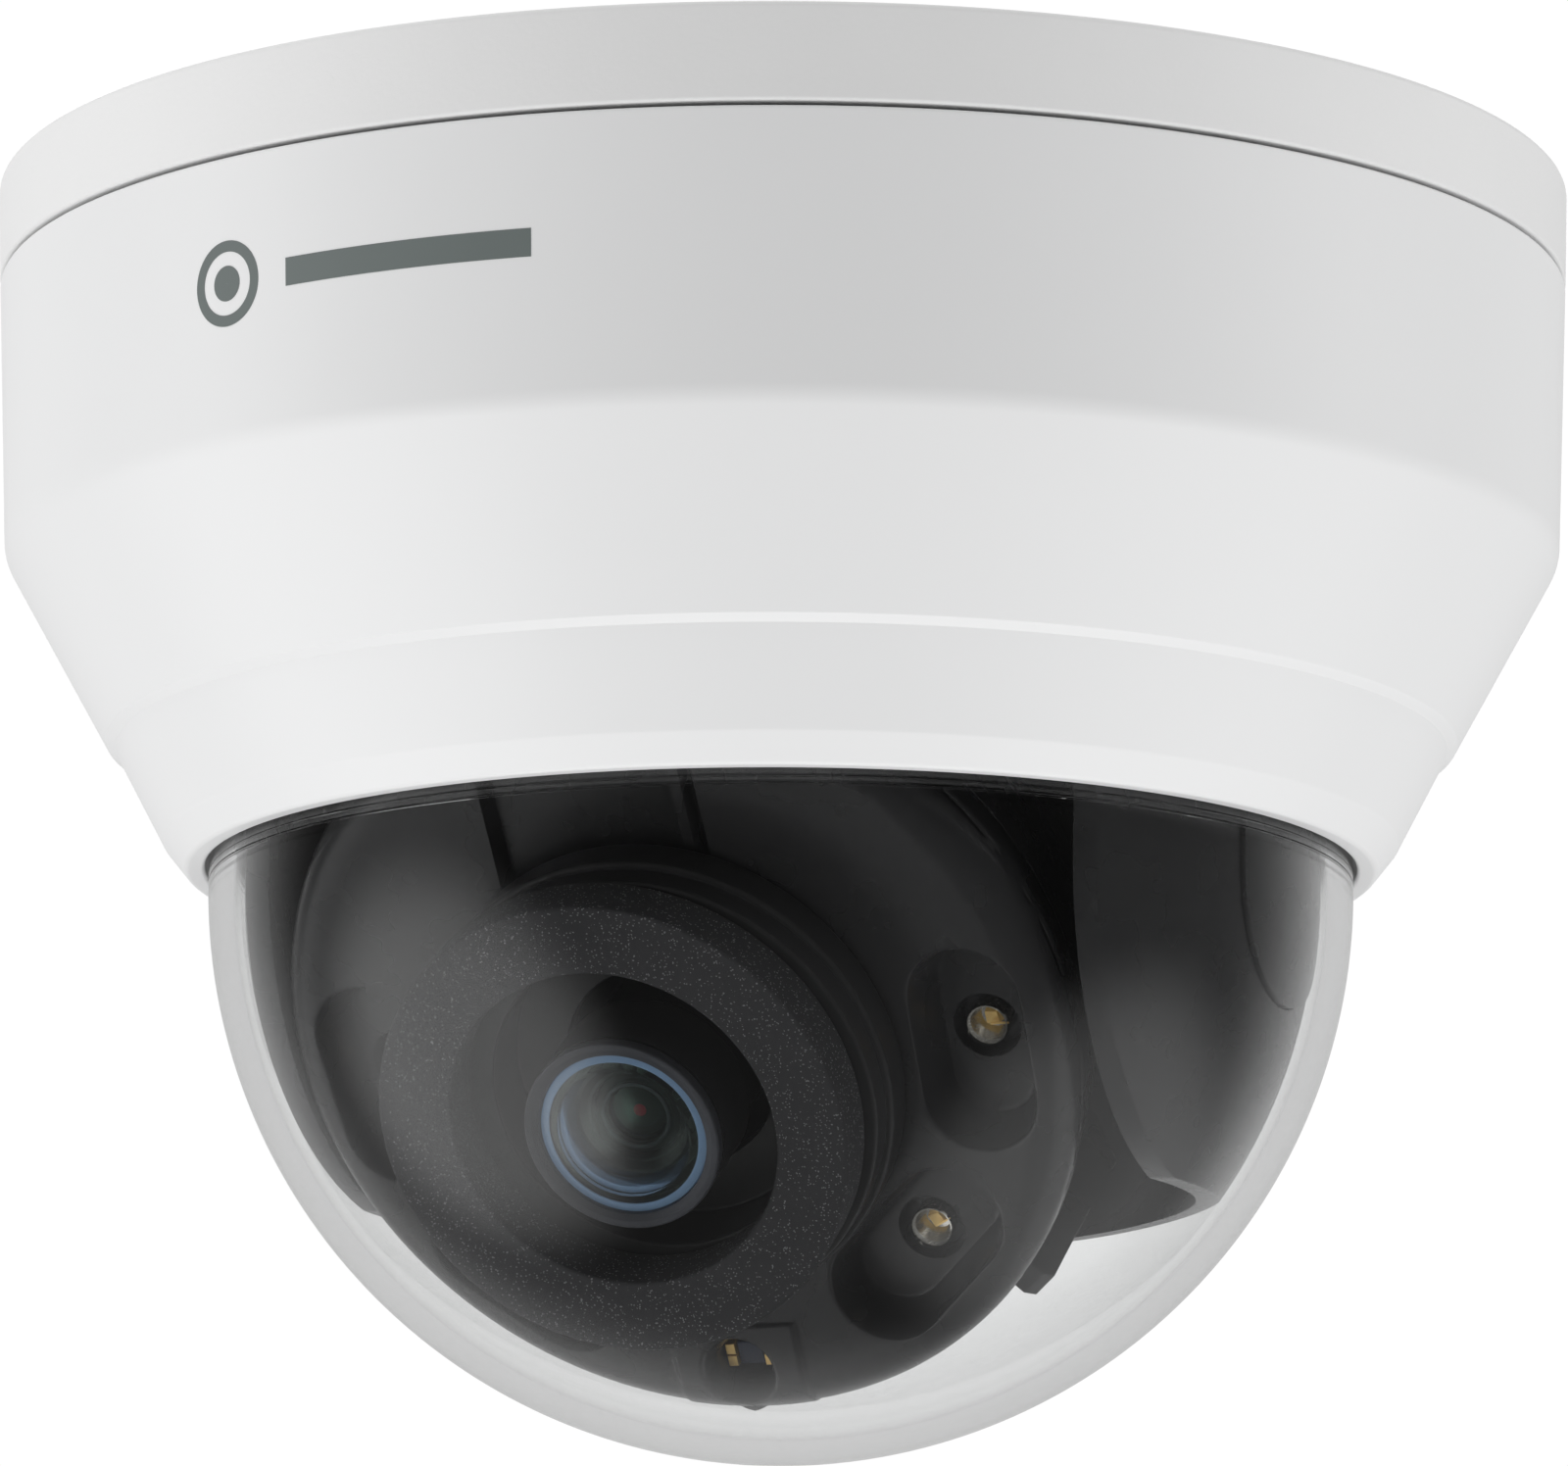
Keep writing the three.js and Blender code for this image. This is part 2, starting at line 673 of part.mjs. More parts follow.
function pivotCap(side) {
  const outer = bowlSide(yokeRadius + capProud, -capTopDrop + 5, -yokeDrop);
  const inner = bowlSide(yokeRadius - yokeWall, -capTopDrop + 5, -yokeDrop).reverse();
  const far = yokeRadius + 10;
  const zone = acrossX(capOutline(0), Math.min(side * 25, side * far), Math.max(side * 25, side * far));
  const skin = common(turned([...outer, ...inner]), zone);
  const along = (radius, from, to, sides) => {
    const made = rod(radius, Math.min(side * from, side * to), Math.max(side * from, side * to), sides);
    return made.rotateY(Math.PI / 2).translate(0, 0, -tiltDrop);
  };
  const boss = along(pivotBossRadius, pivotFaceX, yokeRadius - yokeWall / 2, 14);
  const bore = along(pinRadius + fit, pivotFaceX - 1, yokeRadius - yokeWall - 0.2, 16);
  return cut(join(skin, boss), bore);
}

function tiltPin(side) {
  const from = side * (earEndX - 4);
  const to = side * (yokeRadius - yokeWall - 0.5);
  return rod(pinRadius, Math.min(from, to), Math.max(from, to))
    .rotateY(Math.PI / 2)
    .translate(0, 0, -tiltDrop);
}

const earEndX = pivotFaceX - run;

function panGroup() {
  const group = new THREE.Group();
  group.rotation.z = THREE.MathUtils.degToRad(panRest);
  group.add(
    piece("turntable", turntable(), paint.innerBlack),
    piece("turntable_retainer", turntableRetainer(), paint.innerBlack),
    piece("yoke_shroud", yokeShroud(), paint.innerBlack),
    piece("pivot_cap_left", pivotCap(-1), paint.innerBlack),
    piece("pivot_cap_right", pivotCap(1), paint.innerBlack),
    piece("tilt_pin_left", tiltPin(-1), paint.steel),
    piece("tilt_pin_right", tiltPin(1), paint.steel),
  );
  retainerScrewAngles.forEach((angle, i) => {
    const head = hubTop + fit + retainerThick + fit;
    const made = screw(1.4, 1, 0.6, head, hubTop - 3.6).translate(...polar(retainerScrewCircle, angle), 0);
    group.add(piece(`retainer_screw_${i + 1}`, made, paint.steel));
  });
  yokeScrewAngles.forEach((angle, i) => {
    const made = screw(2.2, 1.3, 0.9, flangeUnder - fit, tableUnder + 1.4);
    made.translate(...polar(yokeScrewCircle, angle), 0);
    group.add(piece(`yoke_screw_${i + 1}`, made, paint.steel));
  });
  group.add(eyeGroup());
  return group;
}

// ---- Eye, in its own frame: x across, y up, z along the lens axis
function pocketTool(angle, depthZ, grow, sloped) {
  const halfWidth = pocketHalfWidth - (sloped ? pocketSlope : 0) + grow;
  const halfLength = pocketHalfLength - (sloped ? pocketSlope : 0) + grow;
  const slope = faceZ - pocketFloorZ;
  const shape = outline(slotPoints(halfLength, halfWidth, sloped ? 6 : 5));
  const options = sloped
    ? { depth: 3, bevelThickness: slope, bevelSize: pocketSlope, bevelSegments: 1 }
    : { depth: faceZ - faceWall / 2 - depthZ, bevelEnabled: false };
  const made = new THREE.ExtrudeGeometry(shape, options);
  return made
    .translate(pocketCircle, 0, depthZ + (sloped ? slope : 0))
    .rotateZ(THREE.MathUtils.degToRad(angle));
}

function eyeFrontCover() {
  const outside = [
    [neckRadius + run, faceZ],
    ...arc(rimRadius - rimSoft, faceZ - rimSoft, rimSoft, 90, 0, 4),
    [rimRadius, rimZ],
    [skirtRadius, skirtZ],
  ];
  const inside = [
    [skirtRadius - faceWall, skirtZ],
    [skirtRadius - faceWall, inner - 1.5],
    [rimRadius - faceWall - 1.7, inner],
    [neckRadius + run, inner],
  ];
  const shell = turned([...outside, ...inside]);
  const cups = pocketAngles.map((angle) => pocketTool(angle, pocketFloorZ - pocketWall, pocketWall, false));
  const pad = common(
    span(
      [sensorSide - padSides[0], -2 * rimRadius, inner - 1],
      [sensorSide + padSides[1], sensorPlace[1] + sensorMouth + 0.9, faceZ + padProud],
    ),
    rod(rimRadius - 0.4, inner - 3, faceZ + 1, 48),
  );
  const well = rod(sensorFloor + 1, lampBoardTop + 2.2, inner + 0.5, 14)
    .translate(...sensorPlace, 0);
  const backing = common(
    span(
      [recessSides[0] - 1, recessLowY + 1.6, inner - recessDepth],
      [recessSides[1] + 1, 2 * rimRadius, inner + 0.5],
    ),
    rod(rimRadius - faceWall, 0, faceZ, 48),
  );
  const bosses = lampScrews.map(([x, y]) =>
    rod(2, lampBoardTop + fit, inner + 0.5, 10).translate(x, y, 0),
  );
  const recess = span(
    [recessSides[0], recessLowY, faceZ - recessDepth],
    [recessSides[1], 2 * rimRadius, faceZ + 5],
  );
  const pockets = pocketAngles.map((angle) => pocketTool(angle, pocketFloorZ, 0, true));
  const lampHoles = pocketAngles.map((angle) =>
    rod(lampHole, lampBoardTop - 3, pocketFloorZ + 1, 14).translate(...polar(pocketCircle, angle), 0),
  );
  const eyehole = turned(
    [
      [0, 5],
      [sensorFloor, 5],
      [sensorFloor, faceZ - 1.2],
      [sensorMouth, faceZ + padProud + 0.01],
      [sensorMouth, faceZ + 3],
      [0, faceZ + 3],
    ],
    16,
  ).translate(...sensorPlace, 0);
  const pilots = lampScrews.map(([x, y]) => rod(1.05, 5, inner - 1.2, 8).translate(x, y, 0));
  const bore = rod(neckRadius + run, 5, 40, 32).translate(0, lensY, 0);
  const body = join(shell, ...cups, pad, well, backing, ...bosses);
  return cut(body, recess, ...pockets, ...lampHoles, eyehole, ...pilots, bore);
}

function eyeRearCover() {
  const front = skirtZ - fit;
  const outside = [
    [skirtRadius - 0.1, front],
    [skirtRadius - 0.5, front - 3.5],
    [rearRadius + 0.6, 3],
    ...arc(0, 0, rearRadius, 0, -75, 6),
  ];
  const inside = inset(outside, rearWall).reverse();
  const shell = turned([...outside, ...inside], 32);
  const along = (radius, from, to, sides) =>
    rod(radius, from, to, sides).rotateY(Math.PI / 2).translate(-eyeSide, 0, 0);
  const ears = [-1, 1].map((side) => {
    const ends = [side * (rearRadius - rearWall - 1.5), side * earEndX].sort((a, b) => a - b);
    return along(earRadius, ...ends, 14);
  });
  const bores = [-1, 1].map((side) => {
    const ends = [side * (earEndX + 1), side * (rearRadius - rearWall - 3)].sort((a, b) => a - b);
    return along(pinRadius + pinPlay, ...ends, 16);
  });
  const back = -ribEnds[0];
  const tip = skirtZ - ribEnds[1];
  const ribRadius = rimRadius + ribProud;
  const rib = slab(
    [
      [rearRadius - 0.8, back - 1],
      [ribRadius - 3, back - 1],
      [ribRadius, back + 2],
      [ribRadius, tip - 0.8],
      [ribRadius - 0.8, tip],
      [skirtRadius - 1.2, tip],
      [skirtRadius - 1.6, tip - 3],
      [rearRadius - 0.6, 3],
    ],
    -ribThick / 2,
    ribThick / 2,
  )
    .rotateX(Math.PI / 2)
    .rotateZ(THREE.MathUtils.degToRad(ribAngle));
  const flexExit = rod(exitRadius, -40, -10);
  return cut(join(shell, ...ears, rib), ...bores, flexExit);
}

function lampBoard() {
  const [inside, outer] = lampBoardRadii;
  const disc = ring(inside, outer, lampBoardZ, lampBoardTop, 32);
  const holes = lampScrews.map(([x, y]) => rod(1.3, 0, 30, 8).translate(x, y, 0));
  return cut(disc, ...holes);
}

function lamp(angle) {
  const foot = lampBoardTop + fit;
  const shoulder = lampTipZ - lampRadius;
  const profile = [
    [0, foot],
    [lampRadius + 0.35, foot],
    [lampRadius + 0.35, foot + 1],
    [lampRadius, foot + 1],
    ...arc(0, shoulder, lampRadius, 0, 90, 4).slice(0, -1),
    [0, lampTipZ],
  ];
  return turned(profile, 12).translate(...polar(pocketCircle, angle), 0);
}

function lightSensor() {
  const foot = lampBoardTop + fit;
  return block([2.3, 1.7, 1.1], ...sensorPlace, foot + 0.55);
}

function eyeGroup() {
  const group = new THREE.Group();
  group.position.set(0, 0, -tiltDrop);
  group.rotation.x = THREE.MathUtils.degToRad(90 + tiltRest);
  const disc = new THREE.Group();
  disc.position.x = eyeSide;
  group.add(disc);
  disc.add(
    piece("eye_front_cover", eyeFrontCover(), paint.innerBlack),
    piece("eye_rear_cover", eyeRearCover(), paint.innerBlack),
    piece("lamp_board", lampBoard(), paint.board),
    piece("light_sensor", lightSensor(), paint.sensor),
  );
  pocketAngles.forEach((angle, i) => disc.add(piece(`infrared_lamp_${i + 1}`, lamp(angle), paint.lamp)));
  lampScrews.forEach(([x, y], i) => {
    const made = screw(1.9, 1.2, 0.8, lampBoardZ - fit, faceZ - faceWall - 2).translate(x, y, 0);
    disc.add(piece(`lamp_board_screw_${i + 1}`, made, paint.steel));
  });
  disc.add(lensGroup());
  return group;
}

// ---- Lens module
function lensBarrel() {
  const floorHigh = faceZ + 0.6;
  const floorLow = floorHigh - barrelFloorThick;
  const low = faceZ + run;
  const waist = neckRadius - barrelWall;
  return turned(
    [
      [lensRadius + 0.6, floorLow],
      [lensRadius + 0.6, floorHigh],
      [barrelBore, floorHigh],
      [barrelBore, collarTopZ],
      [collarRadius, collarTopZ],
      [collarRadius, hoodTopZ + 0.3],
      [hoodRadius - 0.3, hoodTopZ],
      [hoodRadius, hoodTopZ - 0.4],
      [hoodRadius, low],
      [neckRadius, low],
      [neckRadius, clipTopZ + fit],
      [waist, clipTopZ + fit],
      [waist, neckEndZ],
      [waist - barrelWall, neckEndZ],
      [waist - barrelWall, floorLow],
    ],
    32,
  );
}

function foamRing() {
  const low = collarTopZ + fit;
  return ring(foamHole, foamRadius, low, foamTopZ, 36).translate(...foamShift, 0);
}

function lensHousing() {
  const seatZ = lensTipZ - bezelHeight - fit;
  const glassBackZ = lensTipZ - glassDepth - fit;
  const innerSeatZ = glassBackZ - innerGlassDrop;
  const stopRadius = 1.3;
  return turned(
    [
      [stopRadius, lensEndZ],
      [lensThreadRadius, lensEndZ],
      [lensThreadRadius, lensHeadZ - 1],
      [lensRadius - 0.5, lensHeadZ],
      [lensRadius, lensHeadZ + 0.6],
      [lensRadius, seatZ],
      [glassRadius + fit, seatZ],
      [glassRadius + fit, glassBackZ],
      [innerGlassRadius + 1.1, glassBackZ],
      [innerGlassRadius + fit, innerSeatZ + 1.6],
      [innerGlassRadius + fit, innerSeatZ],
      [stopRadius, innerSeatZ],
    ],
    28,
  );
}

function lensBezel() {
  const low = lensTipZ - bezelHeight;
  return turned(
    [
      [glassRadius + fit, low],
      [lensRadius, low],
      [lensRadius, lensTipZ - 0.25],
      [lensRadius - 0.25, lensTipZ],
      [glassRadius + fit, lensTipZ - 0.2],
    ],
    28,
  );
}

// A round glass with a spherical front that rises by rise over its edge.
function glass(radius, edgeZ, rise, depth, sides) {
  const ball = (radius * radius + rise * rise) / (2 * rise);
  const half = THREE.MathUtils.radToDeg(Math.asin(radius / ball));
  const front = arc(0, edgeZ + rise - ball, ball, 90 - half, 90, 5).slice(0, -1);
  return turned([[0, edgeZ - depth], [radius, edgeZ - depth], ...front, [0, edgeZ + rise]], sides);
}

function lensGroup() {
  const group = new THREE.Group();
  group.position.y = lensY;
  const innerGlassZ = lensTipZ - glassDepth - innerGlassDrop;
  const boardTopZ = sensorBoardZ + sensorBoardThick;
  const seat = boardTopZ + fit;
  const holderTop = neckEndZ - fit;
  const holderRadius = lensThreadRadius + fit + holderWall;
  const clipRadius = neckRadius + run + clipOver;
  const holder = turned([
    [lensThreadRadius + fit, seat],
    [holderRadius, seat],
    [holderRadius, holderTop - 1.6],
    [neckRadius - 0.4, holderTop - 1.6],
    [neckRadius - 0.4, holderTop],
    [lensThreadRadius + fit, holderTop],
  ], 28);
  group.add(
    piece("lens_barrel", lensBarrel(), paint.hoodBlack),
    piece(
      "barrel_clip",
      ring(neckRadius - barrelWall + fit, clipRadius, clipUnderZ, clipTopZ),
      paint.innerBlack,
    ),
    piece("foam_ring", foamRing(), paint.foam),
    piece("lens_housing", lensHousing(), paint.lensBlack),
    piece("lens_bezel", lensBezel(), paint.bezel),
    piece("front_glass", glass(glassRadius, lensTipZ - 0.2, glassRise, glassDepth - 0.2, 28), paint.glass),
    piece("inner_glass", glass(innerGlassRadius, innerGlassZ + 1.2, 0.6, 1.2, 20), paint.glass),
    piece("lens_holder", holder, paint.part),
    piece("filter_glass", block([7.2, 7.2, 0.6], 0, 0, seat + 2.6), paint.glass),
    piece("image_sensor", block([7.6, 7.6, 1.2], 0, 0, seat + 0.6), paint.sensor),
    piece("sensor_board", rod(sensorBoardRadius, sensorBoardZ, boardTopZ, 24), paint.board),
  );
  return group;
}

// ---- Cover and clear dome
const shelf = -shelfDrop;
const flangeLow = shelf + fit + gasketThick + fit;
const flangeHigh = flangeLow + flangeThick;
const collarInner = domeRadius - domeWall + collarGap;
const collarTop = -collarTopDrop;

function coverOutside() {
  return [
    [coverRadius, -baseHeight - seam],
    [breakRadius + 0.03, -breakDrop + breakSoft],
    [breakRadius - 0.55, -breakDrop - breakSoft],
    [stepRadius, -stepDrop],
    [stepRadius - ledge, -stepDrop - 0.55],
    [lipRadius, -lipDrop],
  ];
}

function coverShell() {
  const outside = coverOutside();
  const inside = inset(outside, coverWall);
  const [high, low] = inside.slice(-2);
  const share = (high[1] - shelf) / (high[1] - low[1]);
  const shelfOuter = high[0] + (low[0] - high[0]) * share;
  const body = turned(
    [
      ...outside,
      [lipRadius - 0.65, -lipDrop - 1.1],
      [lipRadius - 1.7, -mouthDrop + 0.2],
      [lipRadius - 2.2, -mouthDrop],
      [mouthRadius + 0.2, -mouthDrop],
      [mouthRadius, -mouthDrop + 0.3],
      [mouthRadius, shelf],
      [shelfOuter, shelf],
      ...inside.slice(0, -1).reverse(),
    ],
    48,
  );
  const bosses = collarAngles.map((angle) =>
    rod(2.3, -stepDrop - 0.2, collarTop - collarWall - fit, 12)
      .translate(...polar(collarScrewCircle, angle), 0),
  );
  const pilots = collarAngles.map((angle) =>
    rod(1.15, -stepDrop + 0.2, 0, 8).translate(...polar(collarScrewCircle, angle), 0),
  );
  return cut(join(body, ...bosses), ...pilots);
}

function domeBubble() {
  const inner = domeRadius - domeWall;
  const z = -domeCentreDrop;
  const outside = arc(0, z, domeRadius, -90, 0, 7).slice(1);
  const inside = arc(0, z, inner, 0, -90, 7).slice(0, -1);
  const flange = domeRadius + flangeOver;
  return turned(
    [
      [0, z - domeRadius],
      ...outside,
      [domeRadius, flangeLow],
      [flange, flangeLow],
      [flange, flangeHigh],
      [inner, flangeHigh],
      ...inside,
      [0, z - inner],
    ],
  );
}

function domeRetainer() {
  const outer = collarScrewCircle + collarEdge;
  const body = turned([
    [collarInner, flangeHigh + fit],
    [collarInner + collarWall, flangeHigh + fit],
    [collarInner + collarWall, collarTop - collarWall],
    [outer, collarTop - collarWall],
    [outer, collarTop],
    [collarInner, collarTop],
  ]);
  const holes = collarAngles.map((angle) =>
    rod(1.3, -50, 0, 8).translate(...polar(collarScrewCircle, angle), 0),
  );
  return cut(body, ...holes);
}

function coverGroup() {
  const group = new THREE.Group();
  const gasket = ring(mouthRadius + 0.1, domeRadius + flangeOver, shelf + fit, flangeLow - fit, 32);
  group.add(
    piece("cover_shell", coverShell(), paint.coverWhite),
    piece("dome_bubble", domeBubble(), paint.clear),
    piece("dome_gasket", gasket, paint.gasket),
    piece("dome_retainer", domeRetainer(), paint.innerBlack),
  );
  collarAngles.forEach((angle, i) => {
    const made = screw(2, 1.3, 0.85, collarTop + fit, -stepDrop + 0.6);
    made.translate(...polar(collarScrewCircle, angle), 0);
    group.add(piece(`dome_screw_${i + 1}`, made, paint.steel));
  });
  return group;
}

const camera = new THREE.Group();
camera.add(baseGroup(), piece("reset_button", resetButton(), paint.button), panGroup(), coverGroup());

export default camera;
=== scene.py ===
"""A ceiling dome camera: white base and pull-off cover, clear dome, and a black panning and tilting eye.

Shapes are given in millimetres, in the frame named by each group's matrix, and made in metres.
"""

import json
import math

import bmesh
import bpy
from mathutils import Matrix, Vector, noise
from mathutils.geometry import delaunay_2d_cdt


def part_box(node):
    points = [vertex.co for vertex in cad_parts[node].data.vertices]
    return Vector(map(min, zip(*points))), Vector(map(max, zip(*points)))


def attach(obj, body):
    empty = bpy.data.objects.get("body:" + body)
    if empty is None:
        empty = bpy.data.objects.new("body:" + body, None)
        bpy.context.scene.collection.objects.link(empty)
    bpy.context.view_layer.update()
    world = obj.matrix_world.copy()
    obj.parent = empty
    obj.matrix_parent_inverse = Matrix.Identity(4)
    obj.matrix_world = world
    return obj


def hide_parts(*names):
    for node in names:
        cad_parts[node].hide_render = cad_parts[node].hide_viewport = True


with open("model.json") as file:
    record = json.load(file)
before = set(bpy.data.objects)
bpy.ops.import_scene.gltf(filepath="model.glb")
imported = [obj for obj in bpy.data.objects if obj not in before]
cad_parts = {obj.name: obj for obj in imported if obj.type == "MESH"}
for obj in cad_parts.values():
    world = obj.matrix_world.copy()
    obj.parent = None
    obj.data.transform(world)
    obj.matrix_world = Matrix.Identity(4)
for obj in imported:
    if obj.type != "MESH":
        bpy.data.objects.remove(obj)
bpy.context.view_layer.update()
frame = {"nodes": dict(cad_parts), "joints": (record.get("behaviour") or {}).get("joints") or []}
MM = 0.001
ORIGIN = Matrix.Identity(4)


# ---- Frames
def frame_at(origin, x_axis, z_axis):
    """The matrix of a frame at origin, in metres, with the given x and z directions."""
    x, z = Vector(x_axis).normalized(), Vector(z_axis).normalized()
    turn = Matrix((x, z.cross(x), z)).transposed().to_4x4()
    return Matrix.Translation(origin) @ turn


joints = {joint["name"]: joint for joint in frame["joints"]}
tilt_axis = Vector(joints["tilt"]["axis"])
lens_axis = Vector(joints["lens_turn"]["axis"])
tilt_place = Vector(joints["tilt"]["pos_m"])
EYE_SIDE = -0.6  # the eye's disc stands this far off the pan axis
PAN = frame_at((0, 0, 0), tilt_axis, (0, 0, 1))
EYE = frame_at(tilt_place + tilt_axis * EYE_SIDE * MM, tilt_axis, lens_axis)
LENS = frame_at(joints["lens_turn"]["pos_m"], tilt_axis, lens_axis)


# ---- Shapes: each is (vertices in millimetres, faces)
def polar(radius, degrees):
    angle = math.radians(degrees)
    return radius * math.cos(angle), radius * math.sin(angle)


def arc(x, y, radius, start, end, steps):
    turn = (end - start) / steps
    around = [polar(radius, start + turn * i) for i in range(steps + 1)]
    return [(x + dx, y + dy) for dx, dy in around]


def softened(points, steps):
    """The outline with each (x, y, radius) corner turned into an arc."""
    made = []
    for i, point in enumerate(points):
        here = Vector(point[:2])
        if len(point) < 3:
            made.append(here)
            continue
        back = (Vector(points[i - 1][:2]) - here).normalized()
        ahead = (Vector(points[(i + 1) % len(points)][:2]) - here).normalized()
        half = back.angle(ahead) / 2
        reach = point[2] / math.tan(half)
        centre = here + (back + ahead).normalized() * point[2] / math.sin(half)
        first, last = here + back * reach - centre, here + ahead * reach - centre
        turn = math.atan2(first.cross(last), first.dot(last))
        for k in range(steps + 1):
            made.append(centre + Matrix.Rotation(turn * k / steps, 2) @ first)
    return made


def lathe(points, sides=128, steps=5):
    """A profile of (radius, z, corner radius) turned about z; it closes on itself or on the axis."""
    closed = points[0][0] > 0
    line = softened(points, steps)
    verts, rows = [], []
    for point in line:
        count = 1 if point.x < 1e-6 else sides
        rows.append([len(verts) + i for i in range(count)])
        for i in range(count):
            verts.append((*polar(point.x, 360 * i / sides), point.y))
    faces = []
    for low, high in zip(rows, rows[1:] + rows[: int(closed)]):
        for i in range(sides):
            j = (i + 1) % sides
            corners = [low[i % len(low)], low[j % len(low)], high[j % len(high)], high[i % len(high)]]
            face = list(dict.fromkeys(corners))
            if len(face) > 2:
                faces.append(face)
    return verts, faces


def ring(inner, outer, low, high, soft=0.15, sides=128):
    corners = [(inner, low, soft), (outer, low, soft), (outer, high, soft), (inner, high, soft)]
    return lathe(corners, sides, 3)


def rod(radius, low, high, sides=48):
    return lathe([(0, low), (radius, low), (radius, high), (0, high)], sides)


def prism(outline, low, high):
    count = len(outline)
    verts = [(x, y, z) for z in (low, high) for x, y, *_ in outline]
    sides = [(i, (i + 1) % count, count + (i + 1) % count, count + i) for i in range(count)]
    return verts, [list(range(count))[::-1], list(range(count, 2 * count)), *sides]


def block(low, high):
    (x0, y0, z0), (x1, y1, z1) = low, high
    return prism([(x0, y0), (x1, y0), (x1, y1), (x0, y1)], z0, z1)


def moved(shape, matrix):
    verts, faces = shape
    return [tuple(matrix @ Vector(v)) for v in verts], faces


def shifted(shape, x, y, z=0.0, turn=0.0):
    return moved(shape, Matrix.Translation((x, y, z)) @ Matrix.Rotation(math.radians(turn), 4, "Z"))


def joined(*shapes):
    verts, faces = [], []
    for shape_verts, shape_faces in shapes:
        start = len(verts)
        verts += shape_verts
        faces += [[start + i for i in face] for face in shape_faces]
    return verts, faces


def mesh_of(name, shape):
    mesh = bpy.data.meshes.new(name)
    mesh.from_pydata(shape[0], [], shape[1])
    made = bmesh.new()
    made.from_mesh(mesh)
    bmesh.ops.remove_doubles(made, verts=made.verts, dist=1e-4)
    bmesh.ops.recalc_face_normals(made, faces=made.faces)
    made.to_mesh(mesh)
    made.free()
    return mesh


def carved(shape, tools, operation="DIFFERENCE"):
    """The shape with the tools cut from it, or with INTERSECT only what it shares with them."""
    body = bpy.data.objects.new("carved", mesh_of("carved", shape))
    used = [body]
    bpy.context.scene.collection.objects.link(body)
    for tool in tools:
        cutter = bpy.data.objects.new("tool", mesh_of("tool", tool))
        bpy.context.scene.collection.objects.link(cutter)
        modifier = body.modifiers.new("cut", "BOOLEAN")
        modifier.object, modifier.operation, modifier.solver = cutter, operation, "EXACT"
        used.append(cutter)
    done = body.evaluated_get(bpy.context.evaluated_depsgraph_get()).data
    result = [tuple(v.co) for v in done.vertices], [list(p.vertices) for p in done.polygons]
    for one in used:
        bpy.data.objects.remove(one)
    return result


def piece(name, shape, where, body, finish, stands_for=(), bevel=0.0):
    """A finished piece: the shape in its frame, riding on a body, in place of the CAD nodes it stands for."""
    mesh = mesh_of(name, shape)
    mesh.transform(where @ Matrix.Scale(MM, 4))
    mesh.materials.append(finish.material)
    mesh.shade_smooth()
    mesh.set_sharp_from_angle(angle=math.radians(50))
    made = bpy.data.objects.new(name, mesh)
    bpy.context.scene.collection.objects.link(made)
    soften(made, bevel)
    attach(made, body)
    if stands_for:
        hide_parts(*stands_for)
    return made


def soften(made, bevel):
    """Rounded edges of the given width in millimetres, and shading that keeps flats flat."""
    if bevel:
        edge = made.modifiers.new("edges", "BEVEL")
        edge.width, edge.segments, edge.limit_method = bevel * MM, 2, "ANGLE"
        edge.angle_limit = math.radians(28)
        edge.use_clamp_overlap = True
    made.modifiers.new("shading", "WEIGHTED_NORMAL").keep_sharp = True


